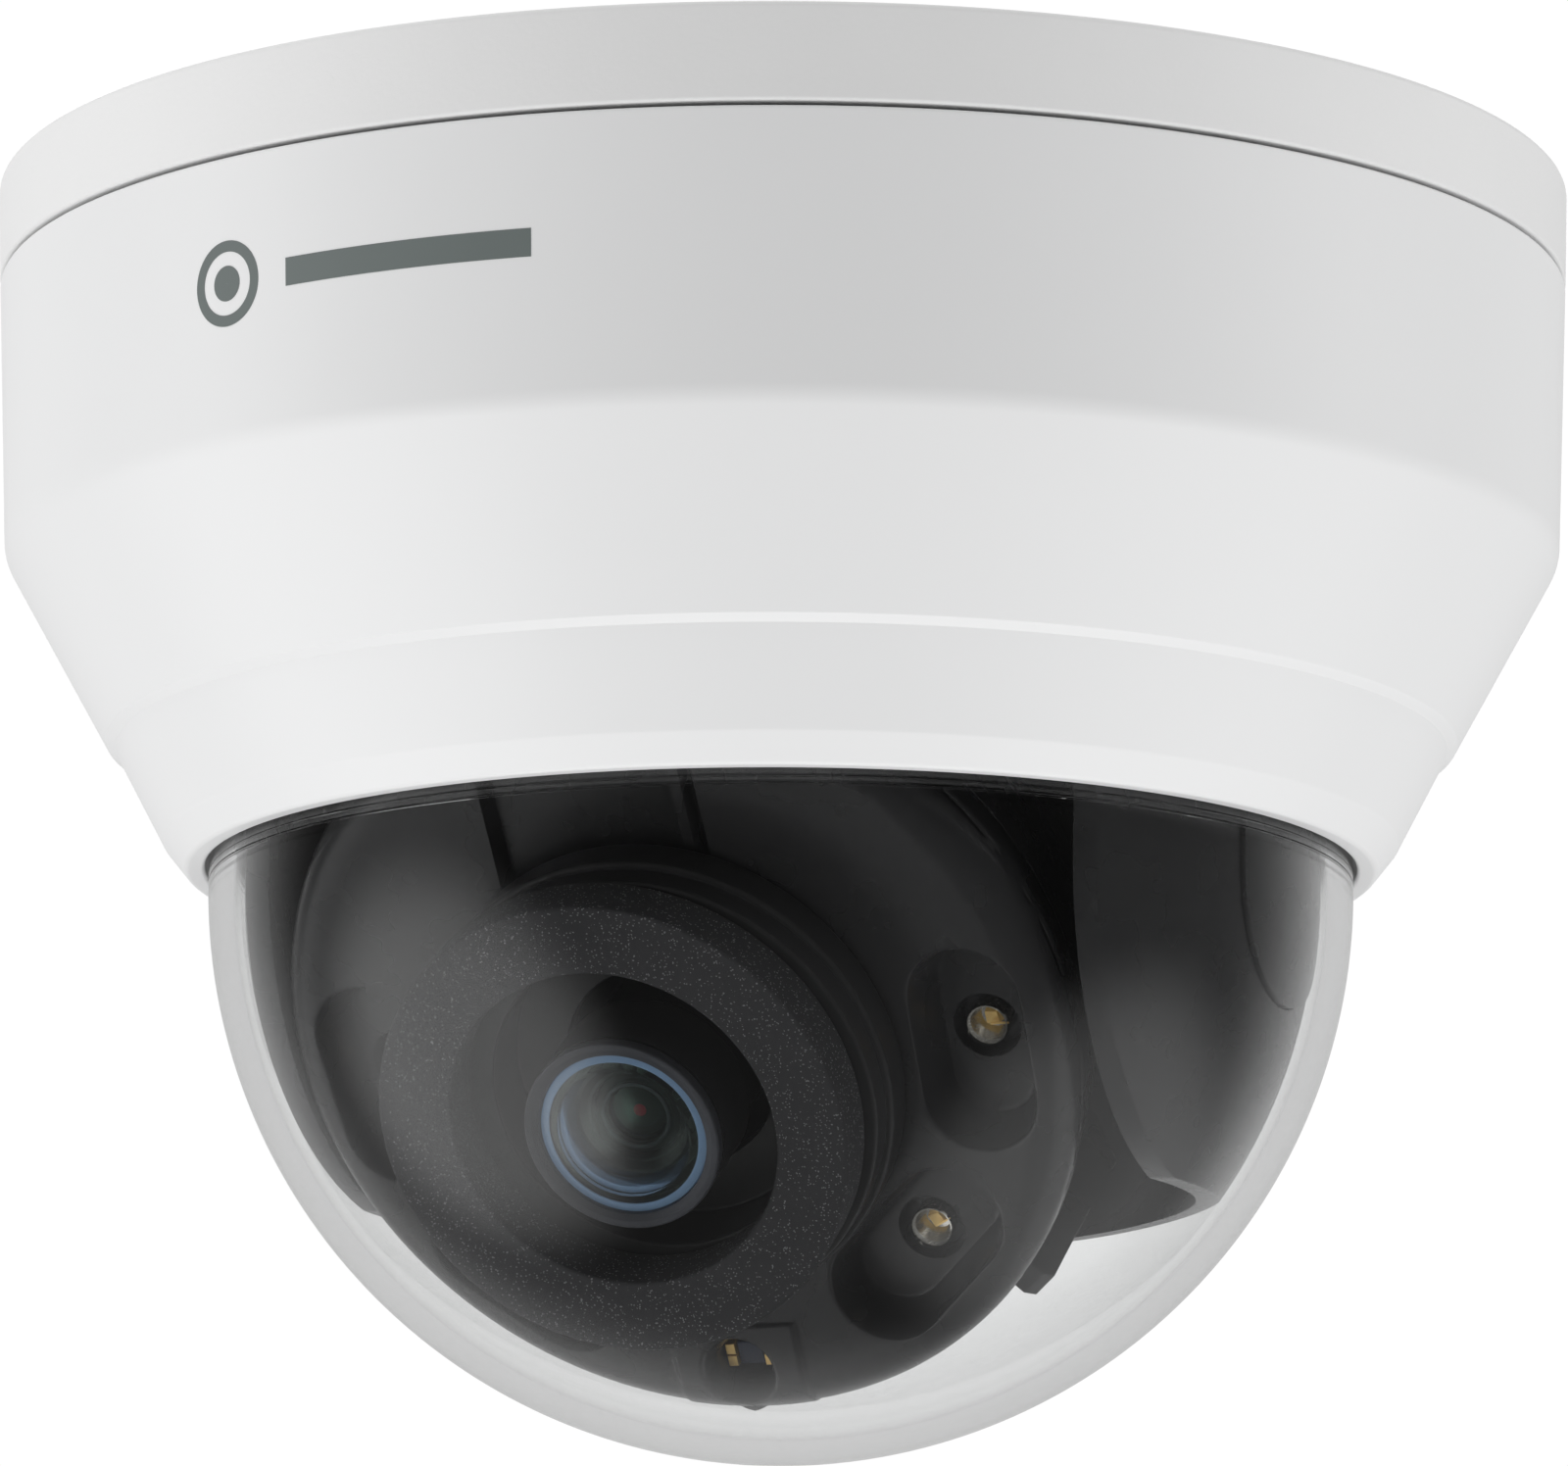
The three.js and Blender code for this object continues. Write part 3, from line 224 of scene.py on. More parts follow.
# ---- Materials
class Nodes:
    """A material's node tree, with short calls for the nodes that the finishes share."""

    def __init__(self, name, slot):
        self.material = bpy.data.materials.new(name)
        self.material.use_nodes = True
        self.tree = self.material.node_tree
        self.shader = self.tree.nodes["Principled BSDF"]
        self.place = self.tree.nodes.new("ShaderNodeTexCoord").outputs["Object"]
        self.slot = slot

    def add(self, kind, inputs=(), **settings):
        node = self.tree.nodes.new(f"ShaderNode{kind}")
        for key, value in settings.items():
            setattr(node, key, value)
        for key, value in dict(inputs).items():
            if isinstance(value, bpy.types.NodeSocket):
                self.tree.links.new(value, node.inputs[key])
            else:
                node.inputs[key].default_value = value
        return node

    def noise(self, size, detail=3.0, place=None):
        """Noise from 0 to 1 whose features are size millimetres across."""
        inputs = {
            "Vector": place or self.place,
            "Scale": 1 / (size * MM),
            "Detail": detail,
            "Roughness": 0.55,
        }
        return self.add("TexNoise", inputs).outputs["Fac"]

    def cells(self, size, feature="F1", output="Distance", randomness=1.0):
        inputs = {"Vector": self.place, "Scale": 1 / (size * MM), "Randomness": randomness}
        return self.add("TexVoronoi", inputs, feature=feature).outputs[output]

    def between(self, value, low, high, start=0.3, end=0.7):
        inputs = {"Value": value, "From Min": start, "From Max": end, "To Min": low, "To Max": high}
        return self.add("MapRange", inputs).outputs["Result"]

    def mix(self, share, first, second):
        node = self.add("Mix", {0: share}, data_type="RGBA")
        for socket, value in ((node.inputs[6], first), (node.inputs[7], second)):
            if isinstance(value, bpy.types.NodeSocket):
                self.tree.links.new(value, socket)
            else:
                socket.default_value = (*value, 1)
        return node.outputs[2]

    def maths(self, operation, first, second=0.0):
        return self.add("Math", {0: first, 1: second}, operation=operation).outputs[0]

    def set(self, **sockets):
        for key, value in sockets.items():
            name = key.replace("_", " ").title().replace("Ior", "IOR")
            if isinstance(value, bpy.types.NodeSocket):
                self.tree.links.new(value, self.shader.inputs[name])
            else:
                if isinstance(value, tuple):
                    value = (*value, 1)
                self.shader.inputs[name].default_value = value

    def bump(self, *layers):
        """Layers of (height 0 to 1, depth in millimetres), one over the other."""
        normal = None
        for height, depth in layers:
            inputs = {"Height": height, "Distance": depth * MM, "Strength": 1.0}
            if normal:
                inputs["Normal"] = normal
            normal = self.add("Bump", inputs).outputs["Normal"]
        self.set(normal=normal)


def tinted(color, share):
    return tuple(min(1.0, c * share) for c in color)


def plastic(name, slot, color, roughness, grain=(), mottle=0.03, patch=9.0, vary=0.04, painted_glints=None, level=0.5):
    """Moulded plastic: a colour that drifts a little, uneven gloss, and grain as (size, depth) layers."""
    made = Nodes(name, slot)
    made.set(specular_ior_level=level)
    base = made.mix(made.noise(patch), tinted(color, 1 - mottle), tinted(color, 1 + mottle))
    # Painted glints: rare bright specks mixed into the colour stand in for light sparkling off the surface.
    if painted_glints:
        size, share, bright = painted_glints
        spots = made.add("TexWhiteNoise", {"Vector": made.cells(size, output="Position")})
        lit = made.maths("GREATER_THAN", spots.outputs["Value"], 1 - share)
        base = made.mix(lit, base, bright)
    gloss = made.noise(patch * 0.5, 2.0)
    made.set(base_color=base, roughness=made.between(gloss, roughness - vary, roughness + vary, 0.0, 1.0))
    made.bump(*[(made.noise(size, 2.0), depth) for size, depth in grain])
    return made


def metal(name, slot, color, roughness, brush=0.25, metallic=1.0):
    made = Nodes(name, slot)
    stretch = made.add("Mapping", {"Vector": made.place, "Scale": (1, 1, 9)}).outputs["Vector"]
    lines = made.noise(brush, 4.0, place=stretch)
    stain = made.between(made.noise(3.0, 4.0), 0.0, 1.0)
    base = made.mix(stain, tinted(color, 0.9), tinted(color, 1.06))
    made.set(base_color=base, metallic=metallic)
    made.set(roughness=made.between(lines, roughness - 0.07, roughness + 0.09))
    made.bump((lines, 0.002), (made.noise(1.4), 0.003))
    return made


def clear(name, slot, color, ior, wave=0.0, level=0.5):
    """Clear plastic or glass, with the faint unevenness of a moulded surface."""
    made = Nodes(name, slot)
    tint = made.mix(made.between(made.noise(12.0), 0.0, 1.0), tinted(color, 0.985), color)
    made.set(base_color=tint, transmission_weight=1.0, ior=ior, specular_ior_level=level)
    made.set(roughness=made.between(made.noise(5.0, 2.0), 0.0, 0.003))
    if wave:
        made.bump((made.noise(14.0, 1.0), wave))
    return made


def circuit_board(name, slot):
    """Green solder mask over copper: traces in a grid of cells, and round tinned pads."""
    made = Nodes(name, slot)
    track = made.cells(2.2, feature="DISTANCE_TO_EDGE", randomness=0.55)
    copper = made.maths("LESS_THAN", track, 0.06)
    dot = made.maths("LESS_THAN", made.cells(2.9, randomness=0.8), 0.16)
    weave = made.between(made.noise(0.4, 2.0), 0.0, 1.0)
    mask = made.mix(weave, (0.008, 0.052, 0.02), (0.012, 0.07, 0.028))
    lines = made.mix(copper, mask, (0.03, 0.13, 0.05))
    base = made.mix(dot, lines, (0.62, 0.6, 0.55))
    made.set(base_color=base, roughness=made.between(made.noise(1.0), 0.28, 0.42), coat_weight=0.35)
    made.bump((copper, 0.03), (dot, 0.03), (made.noise(0.3), 0.004))
    return made


cover_plastic = plastic(
    "cover_plastic", "cover_white", (0.80, 0.802, 0.805), 0.3, [(0.9, 0.0004)], mottle=0.004
)
base_plastic = plastic(
    "base_plastic", "base_white", (0.785, 0.785, 0.785), 0.55, [(0.42, 0.02), (0.16, 0.006)], mottle=0.015
)
dome_clear = clear("dome_clear", "clear_dome", (0.955, 0.96, 0.96), 1.49, wave=0.004)
inner_plastic = plastic(
    "inner_plastic", "black_plastic", (0.013, 0.013, 0.0135), 0.27, [(0.3, 0.0006)], mottle=0.1
)
hood_plastic = plastic(
    "hood_plastic", "hood_black", (0.011, 0.011, 0.0115), 0.36, [(0.3, 0.0008)], mottle=0.1, level=0.4
)
lens_plastic = plastic(
    "lens_plastic", "lens_metal", (0.007, 0.007, 0.0075), 0.3, [(0.3, 0.0008)], mottle=0.1, level=0.3
)
foam_rubber = plastic(
    "foam_rubber",
    "foam",
    (0.03, 0.03, 0.0315),
    0.9,
    [(0.3, 0.03), (0.12, 0.015)],
    mottle=0.12,
    patch=2.0,
    vary=0.06,
    # The foam's bright specks are painted glints, not specks in the rubber.
    painted_glints=(0.08, 0.04, (0.15, 0.15, 0.155)),
    level=0.15,
)
seal_rubber = plastic("seal_rubber", "seal_rubber", (0.02, 0.02, 0.021), 0.7, [(0.3, 0.008)], mottle=0.1)
terminal_plastic = plastic("terminal_plastic", "terminal_plastic", (0.02, 0.16, 0.06), 0.45, [(0.3, 0.006)])
chip_black = plastic("chip_plastic", "chip_black", (0.02, 0.02, 0.022), 0.6, [(0.12, 0.006)], mottle=0.1)
sink_black = plastic("sink_finish", "sink_black", (0.025, 0.025, 0.028), 0.38, [(0.15, 0.006)], mottle=0.1)
button_plastic = plastic("button_red", "button_plastic", (0.42, 0.03, 0.03), 0.45, [(0.3, 0.005)])
mark_ink = plastic("mark_ink", "cover_white", (0.14, 0.165, 0.16), 0.5, [(0.2, 0.002)], mottle=0.04)
steel = metal("steel", "screw_steel", (0.62, 0.62, 0.63), 0.3)
tin = metal("tin", "tinned_steel", (0.66, 0.66, 0.66), 0.34, 0.4)
gold = metal("gold", "tinned_steel", (0.95, 0.68, 0.28), 0.42, 0.2)
lead_grey = metal("lead_grey", "tinned_steel", (0.8, 0.78, 0.72), 0.2, 0.2)
# Painted reflection: this blue stands in for a light tent reflected in the lens's edge.
blue_reflection_paint = plastic("blue_reflection_paint", "lens_bezel", (0.16, 0.24, 0.4), 0.4, [(0.2, 0.001)], mottle=0.08)
bezel_grey = metal("bezel_grey", "lens_bezel", (0.035, 0.037, 0.043), 0.35, 0.3, 0.6)
board_green = circuit_board("board_green", "circuit_board")
lamp_clear = clear("lamp_clear", "lamp_clear", (0.99, 0.985, 0.975), 1.54)
optical = clear("optical", "optical_glass", (0.72, 0.86, 0.80), 1.55, level=0.14)
sensor_dark = plastic("sensor_face", "sensor_dark", (0.012, 0.016, 0.03), 0.2, [(0.1, 0.001)], mottle=0.2)
# Painted reflection: a red colour standing in for the red glints reflected in the lens's pupil.
red_glint_paint = plastic("red_glint_paint", "optical_glass", (0.28, 0.015, 0.03), 0.12, [(0.3, 0.001)], mottle=0.2, patch=1.0)


# ---- Base
BASE_RADIUS, BASE_HEIGHT, BASE_DRAFT = 55, 6.7, 0.15
SPIGOT_RADIUS, SPIGOT_DROP, SPIGOT_WALL, BASE_FLOOR = 51.9, 13, 2, 2.4
MOUNT_SLOT_RADIUS, MOUNT_SLOT_HALF, MOUNT_SLOT_REACH = 45.6, 1.9, 2.6
CABLE_RADIUS, CABLE_Y = 8, 29
LEG_CIRCLE, LEG_ANGLES = 45.2, (90, 210, 330)
LEG_BORE, LEG_RADIUS = 1.4, 3
CATCH_TOP, CATCH_LOW, CATCH_HALF, CATCH_PROUD = -10, -12, 3, 0.3
PLATE_TOP, PLATE_UNDER, PLATE_RADIUS, HUB_BORE = -19, -21.2, 48.4, 9.35
SCREWDRIVER_HOLE, PLATE_SCREW_HOLE = 5.2, 1.6


def slot_outline(reach, half, steps=14):
    """A slot along y with round ends, reach from its middle to the centre of each end."""
    return arc(0, reach, half, 0, 180, steps) + arc(0, -reach, half, 180, 360, steps)


def base_case():
    shell = lathe(
        [
            (0, 0),
            (BASE_RADIUS, 0, 0.45),
            (BASE_RADIUS - BASE_DRAFT, -BASE_HEIGHT, 0.25),
            (SPIGOT_RADIUS, -BASE_HEIGHT, 0.2),
            (SPIGOT_RADIUS, -SPIGOT_DROP, 0.3),
            (SPIGOT_RADIUS - SPIGOT_WALL, -SPIGOT_DROP, 0.3),
            (SPIGOT_RADIUS - SPIGOT_WALL, -BASE_FLOOR, 0.5),
            (0, -BASE_FLOOR),
        ],
        256,
    )
    slot_shape = prism(slot_outline(MOUNT_SLOT_REACH, MOUNT_SLOT_HALF), -5, 1)
    slots = [shifted(slot_shape, side * MOUNT_SLOT_RADIUS, 0) for side in (-1, 1)]
    hole = shifted(rod(CABLE_RADIUS, -5, 1, sides=96), 0, CABLE_Y)
    catch_low = (SPIGOT_RADIUS - 1, -CATCH_HALF, CATCH_LOW)
    catch_high = (SPIGOT_RADIUS + CATCH_PROUD, CATCH_HALF, CATCH_TOP)
    catches = [shifted(block(catch_low, catch_high), 0, 0, 0, angle + 60) for angle in LEG_ANGLES]
    leg = ring(LEG_BORE, LEG_RADIUS, PLATE_TOP + 0.3, -BASE_FLOOR + 0.3, 0.1, 40)
    legs = [shifted(leg, *polar(LEG_CIRCLE, angle)) for angle in LEG_ANGLES]
    body = carved(shell, [*slots, hole])
    return joined(body, *catches, *legs)


piece("base_shell", base_case(), ORIGIN, "base", base_plastic, ["base_case"])


def chassis_plate():
    plate = ring(HUB_BORE, PLATE_RADIUS, PLATE_UNDER, PLATE_TOP, 0.25, 192)
    screwdriver, screw = rod(SCREWDRIVER_HOLE, -30, 0), rod(PLATE_SCREW_HOLE, -30, 0)
    cuts = [
        block((-34, -10.6, -30), (-16, 12, 0)),  # over the network socket
        block((-16, 15, -30), (16, 39, 0)),  # over the cable hole
        *[shifted(screwdriver, side * MOUNT_SLOT_RADIUS, 0) for side in (-1, 1)],
        *[shifted(screw, *polar(LEG_CIRCLE, angle)) for angle in LEG_ANGLES],
    ]
    return carved(plate, cuts)


piece("chassis", chassis_plate(), ORIGIN, "base", inner_plastic, ["chassis_plate"], 0.2)


# ---- Screws: a pan head with a cross recess, in place of each CAD screw
def screw_shape(radius, height, length):
    """A screw along z whose head stands from 0 down to -height and whose shank runs up."""
    shank = radius * 0.45
    head = lathe(
        [
            (0, -height),
            (radius * 0.55, -height),
            (radius, -height * 0.45, radius * 0.25),
            (radius, 0, 0.08),
            (shank, 0),
            (shank, length, 0.15),
            (0, length),
        ],
        48,
    )
    reach, half = radius * 0.62, radius * 0.11
    cross = [
        block((-reach, -half, -height - 1), (reach, half, -height * 0.35)),
        block((-half, -reach, -height - 1), (half, reach, -height * 0.35)),
    ]
    return carved(head, cross)


def fit_screw(node, body, up, head_share):
    """Puts a screw where the CAD node is; up is the way its shank runs, in the body's frame at rest."""
    low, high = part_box(node)
    centre = (low + high) / 2 / MM
    length = (high.z - low.z) / MM
    radius = (high.x - low.x) / 2 / MM
    head = radius * head_share
    at = centre - up * (length / 2 - head)
    turn = Vector((0, 0, 1)).rotation_difference(up).to_matrix().to_4x4()
    shape = screw_shape(radius, head, length - head)
    piece(f"{node}_cross", moved(shape, Matrix.Translation(at) @ turn), ORIGIN, body, steel, [node])


UP, DOWN = Vector((0, 0, 1)), Vector((0, 0, -1))
for count, stem, rides, way in (
    (4, "board_screw", "base", UP),
    (3, "chassis_screw", "base", UP),
    (3, "retainer_screw", "pan_yoke", DOWN),
    (3, "yoke_screw", "pan_yoke", UP),
    (3, "dome_screw", "cover", DOWN),
):
    for index in range(count):
        fit_screw(f"{stem}_{index + 1}", rides, way, 0.65)


# ---- Cover and clear dome
COVER_RADIUS, COVER_WALL, SEAM = 54.83, 1.8, 0.3
BREAK_RADIUS, BREAK_DROP, BREAK_SOFT = 54.2, 26.1, 3.0
STEP_RADIUS, STEP_DROP, LEDGE = 47, 39.1, 0.7
LIP_RADIUS, LIP_DROP, MOUTH_DROP, SHELF_DROP = 42.9, 46.1, 48.1, 44
DOME_RADIUS, DOME_WALL, DOME_DROP = 39.72, 1.8, 49.24
MOUTH_RADIUS = DOME_RADIUS + 0.25
FLANGE_RADIUS, FLANGE_LOW, FLANGE_HIGH = DOME_RADIUS + 1.9, -42.7, -41.3
BOSS_CIRCLE, BOSS_ANGLES, BOSS_BORE, BOSS_RADIUS, BOSS_TOP = 43.5, (30, 150, 270), 1.15, 2.3, -36.9
RETAINER_RADIUS, RETAINER_TOP, RETAINER_WALL, RETAINER_GAP = 45.6, -35.4, 1.2, 1.7


def cover_shell():
    wall = COVER_WALL
    return lathe(
        [
            (COVER_RADIUS, -BASE_HEIGHT - SEAM, 0.25),
            (BREAK_RADIUS, -BREAK_DROP, BREAK_SOFT),
            (STEP_RADIUS, -STEP_DROP, 0.12),
            (STEP_RADIUS - LEDGE, -STEP_DROP - 0.5, 0.12),
            (LIP_RADIUS, -LIP_DROP, 1.2),
            (LIP_RADIUS - 1.6, -MOUTH_DROP, 0.6),
            (MOUTH_RADIUS, -MOUTH_DROP, 0.3),
            (MOUTH_RADIUS, -SHELF_DROP, 0.1),
            (LIP_RADIUS - wall + 1.1, -SHELF_DROP),
            (STEP_RADIUS - LEDGE - wall, -STEP_DROP - 0.3),
            (STEP_RADIUS - wall, -STEP_DROP),
            (BREAK_RADIUS - wall, -BREAK_DROP, BREAK_SOFT),
            (COVER_RADIUS - wall, -BASE_HEIGHT - SEAM, 0.2),
        ],
        320,
        9,
    )


def collar_bosses():
    boss = ring(BOSS_BORE, BOSS_RADIUS, -STEP_DROP - 0.2, BOSS_TOP, 0.1, 40)
    return [shifted(boss, *polar(BOSS_CIRCLE, angle)) for angle in BOSS_ANGLES]


piece("cover_body", joined(cover_shell(), *collar_bosses()), ORIGIN, "cover", cover_plastic, ["cover_shell"])


# Two fine lines round the dome under the cover's lip, as (height over the dome's centre, depth).
DOME_LINES = (
    (0.1, 0), (0.14, 0.07), (0.24, 0.07), (0.28, 0), (0.62, 0), (0.66, 0.05), (0.74, 0.05), (0.78, 0)
)


def dome():
    inner = DOME_RADIUS - DOME_WALL
    outside = arc(0, -DOME_DROP, DOME_RADIUS, -90, 0, 72)[1:]
    inside = arc(0, -DOME_DROP, inner, 0, -90, 72)[:-1]
    return lathe(
        [
            (0, -DOME_DROP - DOME_RADIUS),
            *outside,
            *[(DOME_RADIUS - deep, rise - DOME_DROP) for rise, deep in DOME_LINES],
            (DOME_RADIUS, FLANGE_LOW, 0.2),
            (FLANGE_RADIUS, FLANGE_LOW, 0.1),
            (FLANGE_RADIUS, FLANGE_HIGH, 0.1),
            (inner, FLANGE_HIGH, 0.2),
            *inside,
            (0, -DOME_DROP - inner),
        ],
        256,
    )


bubble = piece("dome", dome(), ORIGIN, "cover", dome_clear, ["dome_bubble"])
bubble.visible_shadow = False
gasket = ring(MOUTH_RADIUS + 0.1, FLANGE_RADIUS, -SHELF_DROP + 0.3, FLANGE_LOW - 0.3, 0.2, 192)
piece("gasket", gasket, ORIGIN, "cover", seal_rubber, ["dome_gasket"])


def dome_collar():
    inner, wall, top = DOME_RADIUS - DOME_WALL + RETAINER_GAP, RETAINER_WALL, RETAINER_TOP
    body = lathe(
        [
            (inner, FLANGE_HIGH + 0.3, 0.2),
            (inner + wall, FLANGE_HIGH + 0.3, 0.2),
            (inner + wall, top - wall, 0.3),
            (RETAINER_RADIUS, top - wall, 0.2),
            (RETAINER_RADIUS, top, 0.2),
            (inner, top, 0.2),
        ],
        192,
    )
    holes = [shifted(rod(1.3, -50, 0), *polar(BOSS_CIRCLE, angle)) for angle in BOSS_ANGLES]
    return carved(body, holes)


piece("dome_collar", dome_collar(), ORIGIN, "cover", inner_plastic, ["dome_retainer"])

# A plain printed mark on the cover's left front: a ring with a dot, and a bar.
MARK_CENTRE, MARK_DROP, MARK_LIFT = -121.5, 15.6, 0.02


def on_wall(x, y, lift):
    """A place on the cover's wall, x across and y up from the middle of the mark."""
    drop = MARK_DROP - y
    share = (drop - BASE_HEIGHT - SEAM) / (BREAK_DROP - BASE_HEIGHT - SEAM)
    radius = COVER_RADIUS + (BREAK_RADIUS - COVER_RADIUS) * share + lift
    return (*polar(radius, MARK_CENTRE + math.degrees(x / COVER_RADIUS)), -drop)


def stroke(edges, closed):
    """A thin stroke of ink between two edge lines."""
    verts = []
    for (xa, ya), (xb, yb) in edges:
        verts += [on_wall(xa, ya, MARK_LIFT), on_wall(xb, yb, MARK_LIFT)]
        verts += [on_wall(xb, yb, 0), on_wall(xa, ya, 0)]
    count = len(edges)
    faces = []
    for i in range(count if closed else count - 1):
        a, b = 4 * i, 4 * ((i + 1) % count)
        faces += [[a + k, a + (k + 1) % 4, b + (k + 1) % 4, b + k] for k in range(4)]
    if not closed:
        faces += [[3, 2, 1, 0], [4 * count - 4 + k for k in range(4)]]
    return verts, faces


def round_stroke(x, outer, inner):
    turns = [math.radians(5 * i) for i in range(72)]
    return stroke([[(x + r * math.cos(t), r * math.sin(t)) for r in (outer, inner)] for t in turns], True)


def bar_stroke(x0, x1, half):
    places = [x0 + (x1 - x0) * i / 40 for i in range(41)]
    return stroke([((x, half), (x, -half)) for x in places], False)


MARK_RING_X = -10.5
mark = joined(
    round_stroke(MARK_RING_X, 2.9, 2.15),
    round_stroke(MARK_RING_X, 1.2, 0.02),
    bar_stroke(-5.2, 13.4, 0.95),
)
piece("printed_mark", mark, ORIGIN, "cover", mark_ink)


# ---- Turntable and yoke
TABLE_TOP, TABLE_UNDER, TABLE_RADIUS = -21.55, -24.15, 36.9
HUB_RADIUS, HUB_TOP, HUB_HOLE = 9, -18.65, 5.5
YOKE_TOP, YOKE_RADIUS, YOKE_WALL, YOKE_DROP = -24.45, 37.2, 1.3, 71
TILT_DROP, CHEEK_RADIUS, CAP_HALF, CAP_TOP = 50.3, 21.2, 8.9, 34
CAP_PROUD, YOKE_FLANGE = 0.25, 28.2
PIN_BORE, PIN_BOSS, PIN_BOSS_END = 2.3, 5, 27.6

table = lathe(
    [
        (HUB_HOLE, TABLE_UNDER, 0.2),
        (TABLE_RADIUS, TABLE_UNDER, 0.3),
        (TABLE_RADIUS, TABLE_TOP, 0.3),
        (HUB_RADIUS, TABLE_TOP, 0.1),
        (HUB_RADIUS, HUB_TOP, 0.3),
        (HUB_HOLE, HUB_TOP, 0.2),
    ],
    160,
)
piece("pan_table", table, PAN, "pan_yoke", inner_plastic, ["turntable"])


def across(outline, low, high):
    """A prism along x whose outline is given as (y, z)."""
    verts, faces = prism(outline, low, high)
    return [(z, x, y) for x, y, z in verts], faces


def bowl(radius, top, bottom):
    """A profile down a straight side and round the dome's centre, to the height of the bottom."""
    low = math.degrees(math.asin((DOME_DROP - bottom) / radius))
    return [(radius, top), *arc(0, -DOME_DROP, radius, 0, low, 28)]


def cap_outline(grow):
    half = CAP_HALF + grow
    return [(half, -CAP_TOP + grow), (-half, -CAP_TOP + grow), *arc(0, -TILT_DROP, half, 180, 360, 32)]


def windows(grow):
    return [across(cap_outline(grow), *ends) for ends in ((-48, -25), (25, 48))]


def yoke():
    outside = bowl(YOKE_RADIUS, YOKE_TOP, YOKE_DROP)
    inside = bowl(YOKE_RADIUS - YOKE_WALL, YOKE_TOP - YOKE_WALL, YOKE_DROP)[::-1]
    shell = lathe([(YOKE_FLANGE, YOKE_TOP), *outside, *inside, (YOKE_FLANGE, YOKE_TOP - YOKE_WALL)], 224)
    front = [
        (-50, 0),
        (-50, -YOKE_DROP - 10),
        (0, -YOKE_DROP - 10),
        *arc(0, -TILT_DROP, CHEEK_RADIUS, 270, 180, 40),
        (-CHEEK_RADIUS, 0),
    ]
    return carved(shell, [across(front, -50, 50), *windows(0.12)])


piece("yoke_shell", yoke(), PAN, "pan_yoke", inner_plastic, ["yoke_shroud"], 0.22)


def pivot_cap(side):
    outer = bowl(YOKE_RADIUS + CAP_PROUD, -CAP_TOP + 5, YOKE_DROP)
    inner = bowl(YOKE_RADIUS - YOKE_WALL, -CAP_TOP + 5, YOKE_DROP)[::-1]
    skin = carved(lathe([*outer, *inner], 224), [windows(0)[side > 0]], "INTERSECT")
    ends = sorted((side * PIN_BOSS_END, side * (YOKE_RADIUS - YOKE_WALL / 2)))
    along = Matrix.Translation((0, 0, -TILT_DROP)) @ Matrix.Rotation(math.radians(90), 4, "Y")
    return joined(skin, moved(ring(PIN_BORE, PIN_BOSS, *ends, 0.2, 64), along))


for side, word in ((-1, "left"), (1, "right")):
    piece(f"cap_{word}", pivot_cap(side), PAN, "pan_yoke", inner_plastic, [f"pivot_cap_{word}"], 0.2)


# ---- Eye: x across, y up and z out along the lens axis
FACE_Z, RIM_RADIUS, RIM_SOFT, RIM_END, SKIRT_Z, SKIRT_RADIUS = 22.4, 27.7, 2.6, 19.0, 16.5, 27.3
LENS_Y, BORE = -0.7, 13.75
POCKET_CIRCLE, POCKET_ANGLES = 21.2, (-3, -48.5, 183, 228.5)
POCKET_HALF, POCKET_REACH, POCKET_SLOPE, POCKET_DEPTH = 3.9, 3.5, 1.1, 3.8
LAMP_HOLE, LAMP_HOLE_DEPTH = 2.3, 1.9
SENSOR_X, SENSOR_Y, SENSOR_MOUTH, SENSOR_DEPTH = -0.5, -24.1, 2.6, 3.3
PAD_LEFT, PAD_RIGHT, PAD_TOP, PAD_PROUD = -5, 4.2, -20.6, 0.25
RECESS_LEFT, RECESS_RIGHT, RECESS_LOW, RECESS_DEPTH = -9.3, 6.1, 12.5, 1.4
RECESS_RIB, RECESS_RIB_EDGE = 1.0, 1.0


def ease(share):
    share = min(max(share, 0.0), 1.0)
    return share * share * (3 - 2 * share)


def ramp(share):
    """A straight slope from 0 to 1 with a short bend at each end."""
    share = min(max(share, 0.0), 1.0)
    bend = 0.15
    if share < bend:
        rise = share**2 / (2 * bend)
    elif share > 1 - bend:
        rise = 1 - bend - (1 - share) ** 2 / (2 * bend)
    else:
        rise = share - bend / 2
    return rise / (1 - bend)


def slot_distance(x, y, angle):
    """How far a point is outside the edge of the pocket at that angle; negative inside."""
    turn = math.radians(-angle)
    px = x * math.cos(turn) - y * math.sin(turn) - POCKET_CIRCLE
    py = x * math.sin(turn) + y * math.cos(turn)
    return math.hypot(px, max(abs(py) - POCKET_REACH, 0)) - POCKET_HALF


def box_distance(x, y, left, right, low, high):
    """How far a point is inside a box's nearest side."""
    return min(x - left, right - x, y - low, high - y)


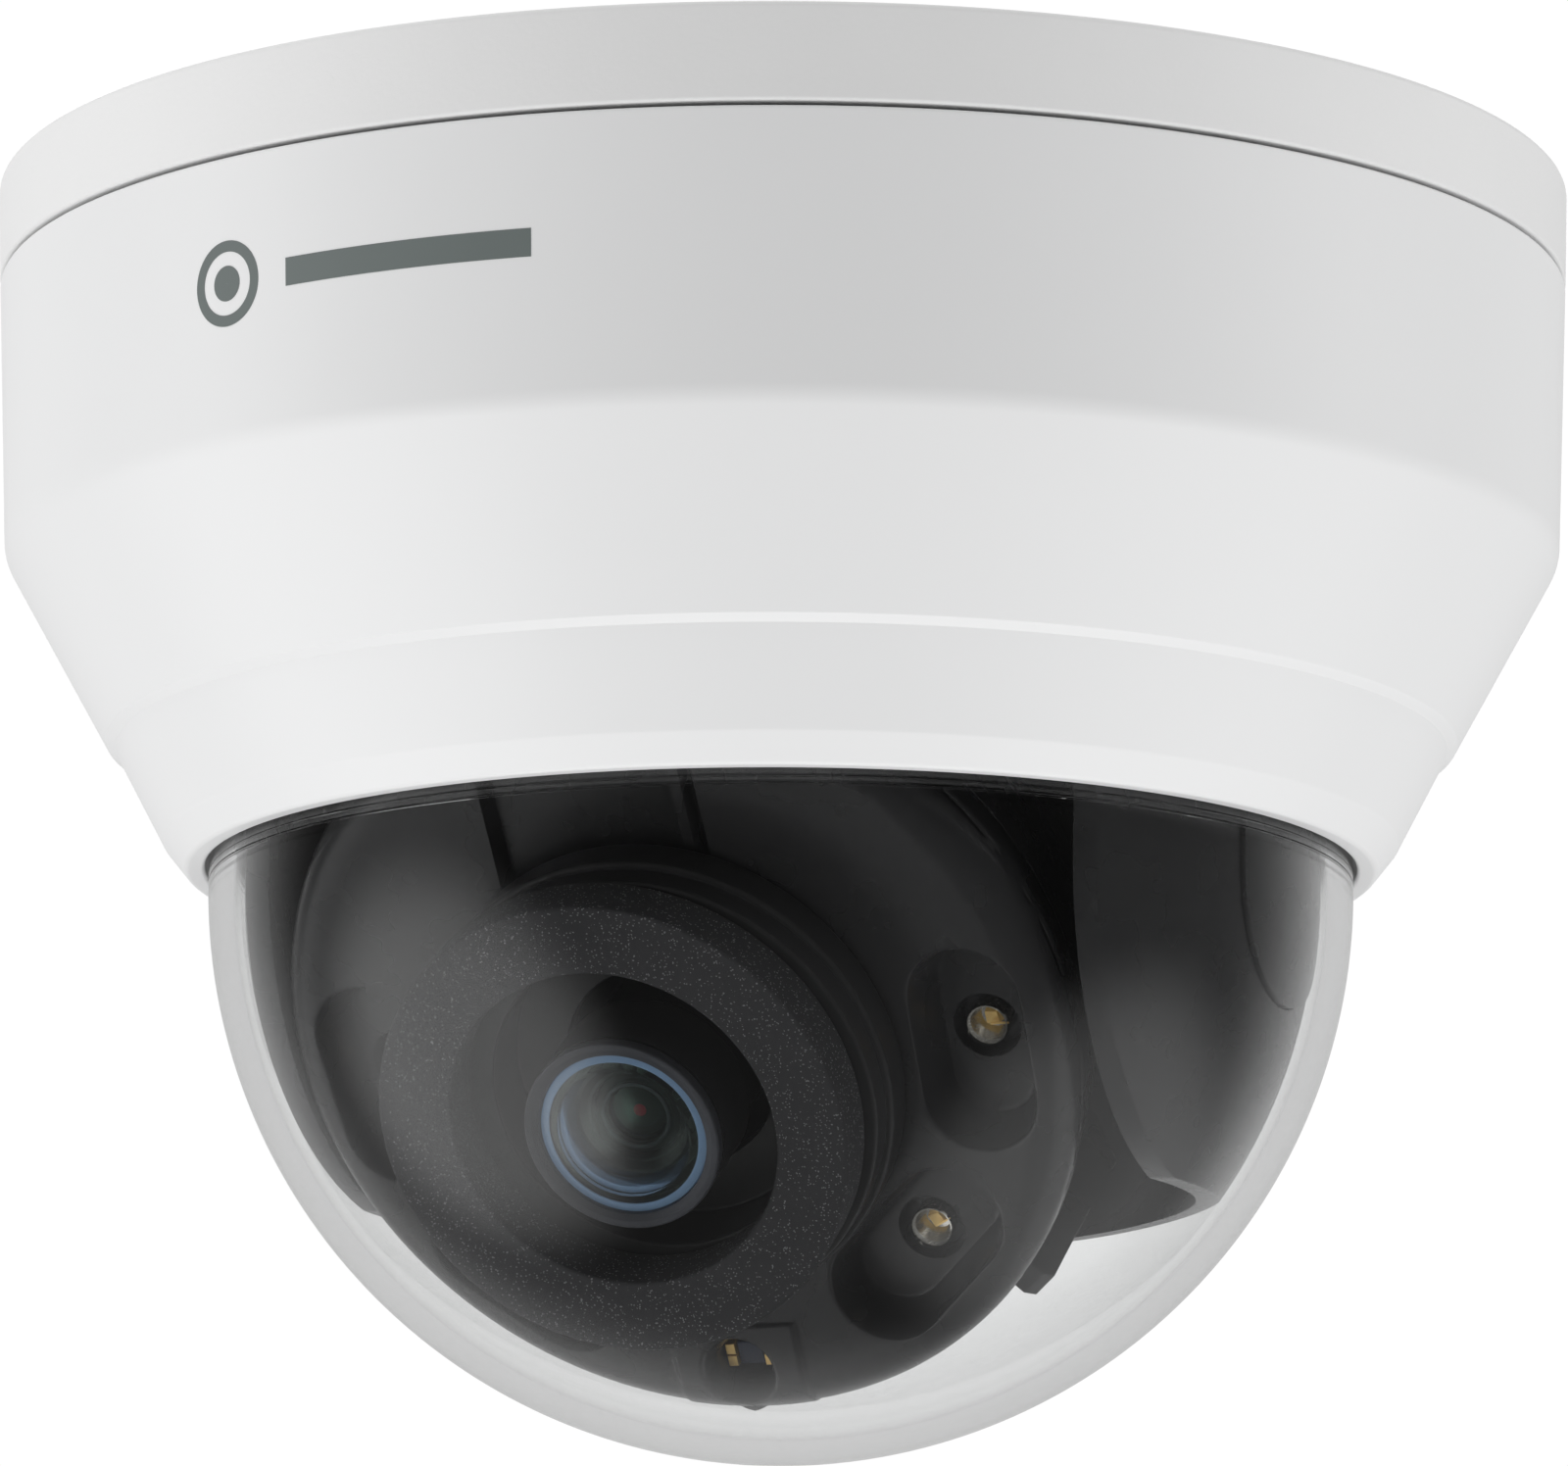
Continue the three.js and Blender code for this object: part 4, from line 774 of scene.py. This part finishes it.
def face_height(x, y):
    """The height of the face over a point of its plan."""
    radius = math.hypot(x, y)
    flat = RIM_RADIUS - RIM_SOFT
    over = min(max(radius - flat, 0.0), RIM_SOFT)
    z = FACE_Z - RIM_SOFT + math.sqrt(max(RIM_SOFT**2 - over**2, 0.0))
    recess = box_distance(x, y, RECESS_LEFT, RECESS_RIGHT, RECESS_LOW, 60)
    rib_right = RECESS_RIGHT - RECESS_RIB_EDGE
    rib = box_distance(x, y, rib_right - RECESS_RIB, rib_right, RECESS_LOW - 1, 60)
    if recess > 0:
        depth = RECESS_DEPTH * (ease(recess / 0.5) - 0.75 * ease(rib / 0.25 + 0.5))
        z = min(z, FACE_Z - max(depth, 0.0))
    if y < 0:
        pad = box_distance(x, y, PAD_LEFT, PAD_RIGHT, -60, PAD_TOP)
        z += PAD_PROUD * ease((pad + 0.1) / 0.25)
    for angle in POCKET_ANGLES:
        edge = slot_distance(x, y, angle)
        if edge < 0.2:
            z -= POCKET_DEPTH * ramp((0.1 - edge) / (POCKET_SLOPE + 0.1))
            lamp_x, lamp_y = polar(POCKET_CIRCLE, angle)
            hole = LAMP_HOLE - math.hypot(x - lamp_x, y - lamp_y)
            z -= LAMP_HOLE_DEPTH * ease((hole + 0.05) / 0.2)
    mouth = SENSOR_MOUTH - math.hypot(x - SENSOR_X, y - SENSOR_Y)
    if mouth > -0.1:
        z -= 1.3 * ease((mouth + 0.1) / 0.75) + (SENSOR_DEPTH - 1.3) * ease((mouth - 0.6) / 0.15)
    return z


def circle(x, y, radius, count):
    return [(x + dx, y + dy) for dx, dy in (polar(radius, 360 * i / count) for i in range(count))]


def face_loops():
    """Closed outlines that the face's surface bends along."""
    loops = [circle(0, LENS_Y, BORE + grow, 120) for grow in (0.0, 0.25, 2.4)]
    flat = RIM_RADIUS - RIM_SOFT
    bend = [math.sin(math.radians(a)) * RIM_SOFT for a in range(0, 91, 9)]
    loops += [circle(0, 0, flat + grow, 240) for grow in (-0.3, *bend)]
    for angle in POCKET_ANGLES:
        for inward in (-0.3, -0.1, -0.04, 0.02, 0.08, 0.5, 0.92, 0.98, 1.04, 1.1, 1.4):
            outline = slot_outline(POCKET_REACH, POCKET_HALF - inward, 16)
            turn = Matrix.Rotation(math.radians(angle), 2)
            loops.append([tuple(turn @ Vector((x + POCKET_CIRCLE, y))) for x, y in outline])
        lamp = polar(POCKET_CIRCLE, angle)
        loops += [circle(*lamp, LAMP_HOLE + grow, 40) for grow in (0.15, 0.05, -0.05, -0.15, -0.35)]
    loops += [
        circle(SENSOR_X, SENSOR_Y, SENSOR_MOUTH - inward, 48)
        for inward in (-0.3, -0.1, 0.1, 0.35, 0.55, 0.62, 0.68, 0.75, 0.9)
    ]
    return loops


def face_lines():
    """Open lines that the face's surface bends along: the recess, its rib and the sensor's pad."""
    end = RIM_RADIUS - 0.02

    def along(x0, y0, x1, y1):
        return [(x0 + (x1 - x0) * i / 24, y0 + (y1 - y0) * i / 24) for i in range(25)]

    def rim_y(x):
        return math.sqrt(end**2 - x**2)

    lines = []
    for inward in (-0.2, 0.0, 0.15, 0.35, 0.5, 0.7):
        left, right, low = RECESS_LEFT + inward, RECESS_RIGHT - inward, RECESS_LOW + inward
        lines.append(along(left, low, right, low))
        lines += [along(x, low, x, rim_y(x)) for x in (left, right)]
    middle = RECESS_RIGHT - RECESS_RIB_EDGE - RECESS_RIB / 2
    for grow in (-0.4, -0.12, 0.12, 0.4):
        for side in (-1, 1):
            x = middle + side * (RECESS_RIB / 2 + grow)
            lines.append(along(x, RECESS_LOW + 0.7, x, rim_y(x)))
    for outward in (-0.35, -0.15, 0.0, 0.1, 0.3):
        left, right, top = PAD_LEFT - outward, PAD_RIGHT + outward, PAD_TOP + outward
        lines.append(along(left, top, right, top))
        lines += [along(x, top, x, -rim_y(x)) for x in (left, right)]
    return lines


def face_cover():
    points, edges = [], []
    for loop in face_loops():
        start, count = len(points), len(loop)
        points += [Vector(p) for p in loop]
        edges += [(start + i, start + (i + 1) % count) for i in range(count)]
    for line in face_lines():
        start = len(points)
        points += [Vector(p) for p in line]
        edges += [(start + i, start + i + 1) for i in range(len(line) - 1)]
    flat, _, triangles, *_ = delaunay_2d_cdt(points, edges, [], 1, 1e-5)
    verts = [(p.x, p.y, face_height(p.x, p.y)) for p in flat]
    faces = []
    for face in triangles:
        middle = sum((flat[i] for i in face), Vector((0, 0))) / len(face)
        if (middle - Vector((0, LENS_Y))).length > BORE - 0.01:
            faces.append(list(face))
    return verts, faces


def rim_wall():
    """The side of the face cover from the end of its rounded rim down to its skirt."""
    count = 240
    rows = [(RIM_RADIUS, FACE_Z - RIM_SOFT), (RIM_RADIUS, RIM_END), (SKIRT_RADIUS, SKIRT_Z)]
    verts = [(*polar(radius, 360 * i / count), z) for radius, z in rows for i in range(count)]
    faces = []
    for row in range(len(rows) - 1):
        for i in range(count):
            a, b = row * count + i, row * count + (i + 1) % count
            faces.append([a, b, b + count, a + count])
    return verts, faces


front = piece("eye_face", joined(face_cover(), rim_wall()), EYE, "eye", inner_plastic, ["eye_front_cover"])
thick = front.modifiers.new("wall", "SOLIDIFY")
thick.thickness, thick.offset = 1.2 * MM, -1
front.modifiers.move(1, 0)


EAR_BORE, EAR_RADIUS, EAR_START, EAR_END = 2.12, 5, 20.4, 27.25
FINGER_RIB = (
    (22.7, -5),
    (26.9, -5),
    (29.9, -2),
    (29.9, 14.5),
    (29.1, 15.3),
    (26.1, 15.3),
    (25.7, 12.3),
    (22.9, 3),
)
FINGER_RIB_HALF, FINGER_RIB_ANGLE = 1.1, -49.3


def finger_rib():
    """The rib that a finger tilts the eye by; its outline is (radius, z)."""
    fin = prism(FINGER_RIB, -FINGER_RIB_HALF, FINGER_RIB_HALF)
    upright = moved(fin, Matrix.Rotation(math.radians(90), 4, "X"))
    return shifted(upright, 0, 0, 0, FINGER_RIB_ANGLE)


def rear_cover():
    skirt, rear, wall, front_z = SKIRT_RADIUS, 23.5, 1.6, SKIRT_Z - 0.3
    shell = lathe(
        [
            (skirt - 0.1, front_z, 0.2),
            (skirt - 0.5, front_z - 3.5, 1.0),
            (rear + 0.6, 3, 3.0),
            *arc(0, 0, rear, -4, -75, 24),
            *arc(0, 0, rear - wall, -75, -4, 24),
            (rear + 0.6 - wall, 3, 3.0),
            (skirt - 0.5 - wall, front_z - 3.5, 1.0),
            (skirt - 0.1 - wall, front_z, 0.2),
        ],
        160,
    )
    turn = Matrix.Rotation(math.radians(90), 4, "Y")
    ears = []
    for side in (-1, 1):
        ends = sorted((side * EAR_START, side * EAR_END))
        ear = moved(ring(EAR_BORE, EAR_RADIUS, *ends, 0.3, 64), turn)
        ears.append(shifted(ear, -EYE_SIDE, 0))
    return joined(shell, *ears, finger_rib())


piece("eye_rear", rear_cover(), EYE, "eye", inner_plastic, ["eye_rear_cover"], 0.2)

# Lamps: a clear dome over a reflecting lead-frame cup, a gold die and two lead posts.
LAMP_RADIUS, LAMP_FOOT, LAMP_TIP = 1.45, 15.1, 19.9
CUP_TOP = LAMP_TIP - 1.75
CUP_FLOOR = CUP_TOP - 0.45


def lamp_lens():
    shoulder = LAMP_TIP - LAMP_RADIUS
    return lathe(
        [
            (0, LAMP_FOOT),
            (LAMP_RADIUS + 0.35, LAMP_FOOT, 0.1),
            (LAMP_RADIUS + 0.35, LAMP_FOOT + 1, 0.1),
            (LAMP_RADIUS, LAMP_FOOT + 1),
            *arc(0, shoulder, LAMP_RADIUS, 0, 90, 16)[:-1],
            (0, LAMP_TIP),
        ],
        48,
    )


def lamp_core():
    """The lead frame inside a lamp: a reflecting cup and two posts."""
    stem = LAMP_FOOT + 1.2
    profile = [(0, stem), (0.5, stem), (0.85, CUP_TOP), (0.74, CUP_TOP), (0.42, CUP_FLOOR), (0, CUP_FLOOR)]
    posts = []
    for x, y in ((1.05, 0.3), (-0.95, -0.5)):
        posts.append(block((x - 0.16, y - 0.2, LAMP_FOOT + 1), (x + 0.16, y + 0.2, CUP_TOP + 0.12)))
    return joined(lathe(profile, 32), *posts)


def lamp_die():
    """The die on the floor of the cup, and the wire over it."""
    die = block((-0.24, -0.24, CUP_FLOOR), (0.24, 0.24, CUP_TOP - 0.25))
    wire = block((-0.04, -0.2, CUP_TOP - 0.1), (1.0, -0.12, CUP_TOP - 0.04))
    return joined(die, wire)


for index, angle in enumerate(POCKET_ANGLES):
    spot = (*polar(POCKET_CIRCLE, angle), 0, 25 * index)
    piece(f"lamp_core_{index + 1}", shifted(lamp_core(), *spot), EYE, "eye", lead_grey)
    piece(f"lamp_die_{index + 1}", shifted(lamp_die(), *spot), EYE, "eye", gold)
    lens = shifted(lamp_lens(), *spot)
    made = piece(f"lamp_{index + 1}", lens, EYE, "eye", lamp_clear, [f"infrared_lamp_{index + 1}"])
    made.visible_shadow = False

sensor_z = FACE_Z - SENSOR_DEPTH - 0.2
chip = block((-0.9, -0.85, sensor_z), (0.9, 0.85, sensor_z + 1.0))
pins = [
    block((side * 1.35 - 0.34, y - 0.4, sensor_z), (side * 1.35 + 0.34, y + 0.4, sensor_z + 1.25))
    for side in (-1, 1)
    for y in (-0.45, 0.45)
]
piece("light_chip", shifted(chip, SENSOR_X, SENSOR_Y), EYE, "eye", sensor_dark, ["light_sensor"], 0.08)
piece("light_pins", shifted(joined(*pins), SENSOR_X, SENSOR_Y), EYE, "eye", gold, bevel=0.05)


# ---- Lens module: z out along the lens axis, from the tilt axis
HOOD_RADIUS, HOOD_TOP, COLLAR_RADIUS, COLLAR_TOP = 16.4, 25.7, 15.9, 27.7
NECK_RADIUS, BARREL_BORE, FLOOR_HIGH, FLOOR_LOW = 13.4, 10.9, 23, 21.4
NECK_FOOT, NECK_BORE, FLOOR_HOLE = 14.6, 10.6, 7.34
FOAM_SHIFT, FOAM_RADIUS, FOAM_HOLE, FOAM_TOP = (-1.1, -0.1), 16.2, 11.35, 31.9
LENS_RADIUS, LENS_TIP, GLASS_RADIUS = 6.74, 33.3, 5.5

barrel = lathe(
    [
        (FLOOR_HOLE, FLOOR_LOW, 0.1),
        (FLOOR_HOLE, FLOOR_HIGH, 0.1),
        (BARREL_BORE, FLOOR_HIGH, 0.2),
        (BARREL_BORE, COLLAR_TOP, 0.2),
        (COLLAR_RADIUS, COLLAR_TOP, 0.3),
        (COLLAR_RADIUS, HOOD_TOP + 0.02, 0.06),
        (HOOD_RADIUS, HOOD_TOP, 0.35),
        (HOOD_RADIUS, FACE_Z + 0.35, 0.25),
        (NECK_RADIUS, FACE_Z + 0.35, 0.1),
        (NECK_RADIUS, NECK_FOOT, 0.2),
        (NECK_BORE, NECK_FOOT, 0.2),
        (NECK_BORE, FLOOR_LOW, 0.1),
    ],
    192,
)
piece("hood", barrel, LENS, "lens_module", hood_plastic, ["lens_barrel"])


def foam_ring():
    """A die-cut foam ring whose skin is slightly uneven."""
    low = COLLAR_TOP + 0.3
    steps = 18
    side = [(FOAM_RADIUS, low + (FOAM_TOP - low) * i / steps) for i in range(1, steps)]
    top = [(FOAM_RADIUS + (FOAM_HOLE - FOAM_RADIUS) * i / steps, FOAM_TOP) for i in range(1, steps)]
    verts, faces = lathe(
        [
            (FOAM_HOLE, low, 0.1),
            (FOAM_RADIUS, low, 0.1),
            *side,
            (FOAM_RADIUS, FOAM_TOP, 0.22),
            *top,
            (FOAM_HOLE, FOAM_TOP, 0.22),
        ],
        400,
        3,
    )
    rough = []
    for v in verts:
        point = Vector(v)
        bump = noise.noise(point * 2.3) * 0.035 + noise.noise(point * 0.7) * 0.03
        out = Vector((point.x, point.y, 0)).normalized() + Vector((0, 0, 1))
        rough.append(tuple(point - out * abs(bump)))
    return shifted((rough, faces), *FOAM_SHIFT)


piece("foam", foam_ring(), LENS, "lens_module", foam_rubber, ["foam_ring"])

housing = lathe(
    [
        (0, 9),
        (5.9, 9, 0.1),
        (5.9, 25, 0.1),
        (6.24, 26, 0.2),
        (LENS_RADIUS, 26.6, 0.2),
        (LENS_RADIUS, LENS_TIP - 1.2),
        (GLASS_RADIUS + 0.3, LENS_TIP - 1.2),
        (GLASS_RADIUS + 0.3, LENS_TIP - 1.9, 0.1),
        (4.9, LENS_TIP - 1.9, 0.1),
        (4.5, LENS_TIP - 2.6, 0.1),
        (4.2, LENS_TIP - 2.6, 0.05),
        (3.8, LENS_TIP - 3.3, 0.05),
        (3.5, LENS_TIP - 3.3, 0.05),
        (3.5, LENS_TIP - 4.4, 0.05),
        (2.5, LENS_TIP - 4.4, 0.1),
        (2.3, LENS_TIP - 5.2),
        (0, LENS_TIP - 5.2),
    ],
    128,
)
piece("lens_body", housing, LENS, "lens_module", lens_plastic, ["lens_housing"])
bezel = lathe(
    [
        (GLASS_RADIUS + 0.3, LENS_TIP - 0.9, 0.05),
        (LENS_RADIUS, LENS_TIP - 0.9, 0.05),
        (LENS_RADIUS, LENS_TIP - 0.05, 0.12),
        (GLASS_RADIUS + 0.75, LENS_TIP - 0.12, 0.1),
        (GLASS_RADIUS + 0.3, LENS_TIP - 0.3, 0.05),
    ],
    160,
)
piece("lens_edge", bezel, LENS, "lens_module", bezel_grey, ["lens_bezel"])
# Painted reflection: a blue ring round the glass stands in for a light tent's reflection in the lens's coated
# edge.
blue = ring(GLASS_RADIUS - 0.45, GLASS_RADIUS + 0.28, LENS_TIP - 1.2, LENS_TIP - 0.75, 0.1, 160)
piece("lens_blue_ring", blue, LENS, "lens_module", blue_reflection_paint)


def element(radius, edge, rise, depth):
    """A round lens element: a domed front that rises over its edge, and a hollow back."""
    ball = (radius**2 + rise**2) / (2 * rise)
    half = math.degrees(math.asin(radius / ball))
    face = arc(0, edge + rise - ball, ball, 90 - half, 90, 20)[:-1]
    back_rise = rise * 1.3
    back_ball = (radius**2 * 0.64 + back_rise**2) / (2 * back_rise)
    back_half = math.degrees(math.asin(radius * 0.8 / back_ball))
    back = arc(0, edge - depth + back_rise - back_ball, back_ball, 90, 90 - back_half, 20)
    top = (0, edge - depth + back_rise)
    return lathe([top, *back[1:], (radius, edge - depth), *face, (0, edge + rise)], 128)


glass = element(GLASS_RADIUS + 0.2, LENS_TIP - 0.5, 1.3, 0.6)
lens_front = piece("lens_glass", glass, LENS, "lens_module", optical, ["front_glass"])
small = element(2.9, LENS_TIP - 4.3, 0.5, 0.4)
lens_small = piece("lens_element", small, LENS, "lens_module", optical, ["inner_glass"])
small_ring = ring(2.45, 2.75, LENS_TIP - 3.85, LENS_TIP - 3.65, 0.05, 96)
piece("lens_inner_ring", small_ring, LENS, "lens_module", bezel_grey)
# The pupil's red colour is a painted reflection of the red glints seen deep in the lens.
pupil = lathe([(0, LENS_TIP - 5.19), (0.55, LENS_TIP - 5.19), (0, LENS_TIP - 4.9)], 64)
piece("lens_pupil", pupil, LENS, "lens_module", red_glint_paint)
for made in (lens_front, lens_small):
    made.visible_shadow = False

# ---- CAD nodes that keep their shapes: finishes and rounded edges
KEPT = (
    (board_green, 0.1, ("main_board", "lamp_board", "sensor_board")),
    (tin, 0.15, ("network_jack", "card_slot", "reset_switch")),
    (terminal_plastic, 0.2, ("power_terminal",)),
    (chip_black, 0.12, ("processor", "flex_socket", "lens_holder")),
    (sink_black, 0.12, ("heat_sink",)),
    (button_plastic, 0.15, ("reset_button",)),
    (inner_plastic, 0.15, ("turntable_retainer", "barrel_clip")),
    (steel, 0.1, ("tilt_pin_left", "tilt_pin_right", "lamp_board_screw_1", "lamp_board_screw_2")),
    (optical, 0.0, ("filter_glass",)),
    (sensor_dark, 0.05, ("image_sensor",)),
)
for finish, width, names in KEPT:
    for name in names:
        node = frame["nodes"][name]
        node.data.materials.clear()
        node.data.materials.append(finish.material)
        soften(node, width)


# ---- Camera, light and floor
# The camera looks up from below: angles in degrees, places in metres, its lens in millimetres.
VIEW_RISE = -11.101
VIEW_DISTANCE, VIEW_SIDE, VIEW_HEIGHT, VIEW_ROLL, LENS_LENGTH = 0.7129, 0.000182, -0.037913, 0.198, 234.87


def add_camera():
    """A camera that turns round a point on the object's axis, with a small roll."""
    rise, roll = math.radians(VIEW_RISE), math.radians(VIEW_ROLL)
    back = Vector((0, -math.cos(rise), math.sin(rise)))
    ahead = -back
    level = ahead.cross(Vector((0, 0, 1))).normalized()
    above = level.cross(ahead)
    right = level * math.cos(roll) + above * math.sin(roll)
    top = above * math.cos(roll) - level * math.sin(roll)
    data = bpy.data.cameras.new("camera")
    data.lens, data.sensor_width = LENS_LENGTH, 36
    data.clip_start, data.clip_end = 0.01, 50
    made = bpy.data.objects.new("camera", data)
    turn = Matrix((right, top, back)).transposed().to_4x4()
    made.matrix_world = Matrix.Translation(Vector((VIEW_SIDE, 0, VIEW_HEIGHT)) + back * VIEW_DISTANCE) @ turn
    bpy.context.scene.collection.objects.link(made)
    bpy.context.scene.camera = made


# Soft boxes: azimuth from the front, elevation, light on surfaces, light in reflections, reach in degrees.
SOFT_BOXES = (
    (-90, 50, 1.78, 0.05, 60),
    (90, 40, 1.3, 0.04, 60),
    (0, -62, 1.27, 0.05, 68),
    (-75, -35, 0.96, 0.0, 45),
    (75, -35, 0.88, 0.0, 45),
    (-92, 5, 2.2, 0.0, 24),
    (92, 5, 1.5, 0.0, 24),
    (0, -88, 0.45, 0.0, 40),
    (-82, -30, 0.0, 0.95, 40),
    (94, -42, 0.0, 0.5, 38),
    (180, 0, 0.15, 0.6, 80),
)
BOX_CORE, TENT, BACKDROP = 6, 0.03, 1.02


def add_world():
    """Soft boxes in a dark tent, and a white backdrop.

    The kind of ray tells apart what lights a surface, what is mirrored and the backdrop. Rays that pass
    through the dome after a diffuse bounce get what is mirrored.
    """
    world = bpy.data.worlds.new("studio")
    bpy.context.scene.world = world
    world.use_nodes = True
    tree = world.node_tree

    def node(kind, operation, *inputs):
        made = tree.nodes.new("ShaderNode" + kind)
        if operation:
            made.operation = operation
        for socket, given in zip(made.inputs, inputs):
            if isinstance(given, bpy.types.NodeSocket):
                tree.links.new(given, socket)
            elif given is not None:
                socket.default_value = given
        return made.outputs["Value" if kind == "VectorMath" else 0]

    place = tree.nodes.new("ShaderNodeTexCoord").outputs["Generated"]
    lit = shine = TENT
    for azimuth, elevation, light, gloss, reach in SOFT_BOXES:
        turn, rise = math.radians(azimuth), math.radians(elevation)
        level = math.cos(rise)
        toward = (math.sin(turn) * level, -math.cos(turn) * level, math.sin(rise))
        along = node("VectorMath", "DOT_PRODUCT", place, toward)
        edge, core = math.cos(math.radians(reach)), math.cos(math.radians(BOX_CORE))
        fall = tree.nodes.new("ShaderNodeMapRange")
        fall.interpolation_type = "SMOOTHERSTEP"
        tree.links.new(along, fall.inputs[0])
        fall.inputs[1].default_value = edge
        fall.inputs[2].default_value = core
        lit = node("Math", "MULTIPLY_ADD", fall.outputs[0], light, lit)
        shine = node("Math", "MULTIPLY_ADD", fall.outputs[0], gloss, shine)
    path = tree.nodes.new("ShaderNodeLightPath").outputs
    through = path["Is Transmission Ray"]
    direct = node("Math", "MAXIMUM", path["Is Camera Ray"], through)
    bounces = node("Math", "ADD", path["Diffuse Depth"], path["Glossy Depth"])
    fresh = node("Math", "LESS_THAN", bounces, 0.5)
    seen = node("Math", "MULTIPLY", direct, fresh)
    diffused = node("Math", "GREATER_THAN", path["Diffuse Depth"], 0.5)
    inside = node("Math", "MULTIPLY", through, diffused)
    mirrored = node("Math", "MAXIMUM", path["Is Glossy Ray"], inside)
    level = node("Mix", None, mirrored, None, lit, shine)
    strength = node("Mix", None, seen, None, level, BACKDROP)
    background = tree.nodes["Background"]
    background.inputs["Color"].default_value = (1, 1, 1, 1)
    tree.links.new(strength, background.inputs["Strength"])


def add_floor():
    """A floor that is seen but takes no part in the light, so the object is lit from below as well."""
    floor = bpy.data.meshes.new("floor")
    half, depth = 60, -3
    corners = [(-half, -half, depth), (half, -half, depth), (half, half, depth), (-half, half, depth)]
    floor.from_pydata(corners, [], [(0, 1, 2, 3)])
    paint = plastic("floor_paint", "", (0.85, 0.85, 0.85), 0.8, [(4.0, 0.1)], mottle=0.01, patch=400)
    floor.materials.append(paint.material)
    plane = bpy.data.objects.new("floor", floor)
    bpy.context.scene.collection.objects.link(plane)
    for kind in ("diffuse", "glossy", "transmission", "shadow"):
        setattr(plane, "visible_" + kind, False)


add_camera()
add_world()
add_floor()
bpy.context.scene.view_settings.view_transform = "Standard"
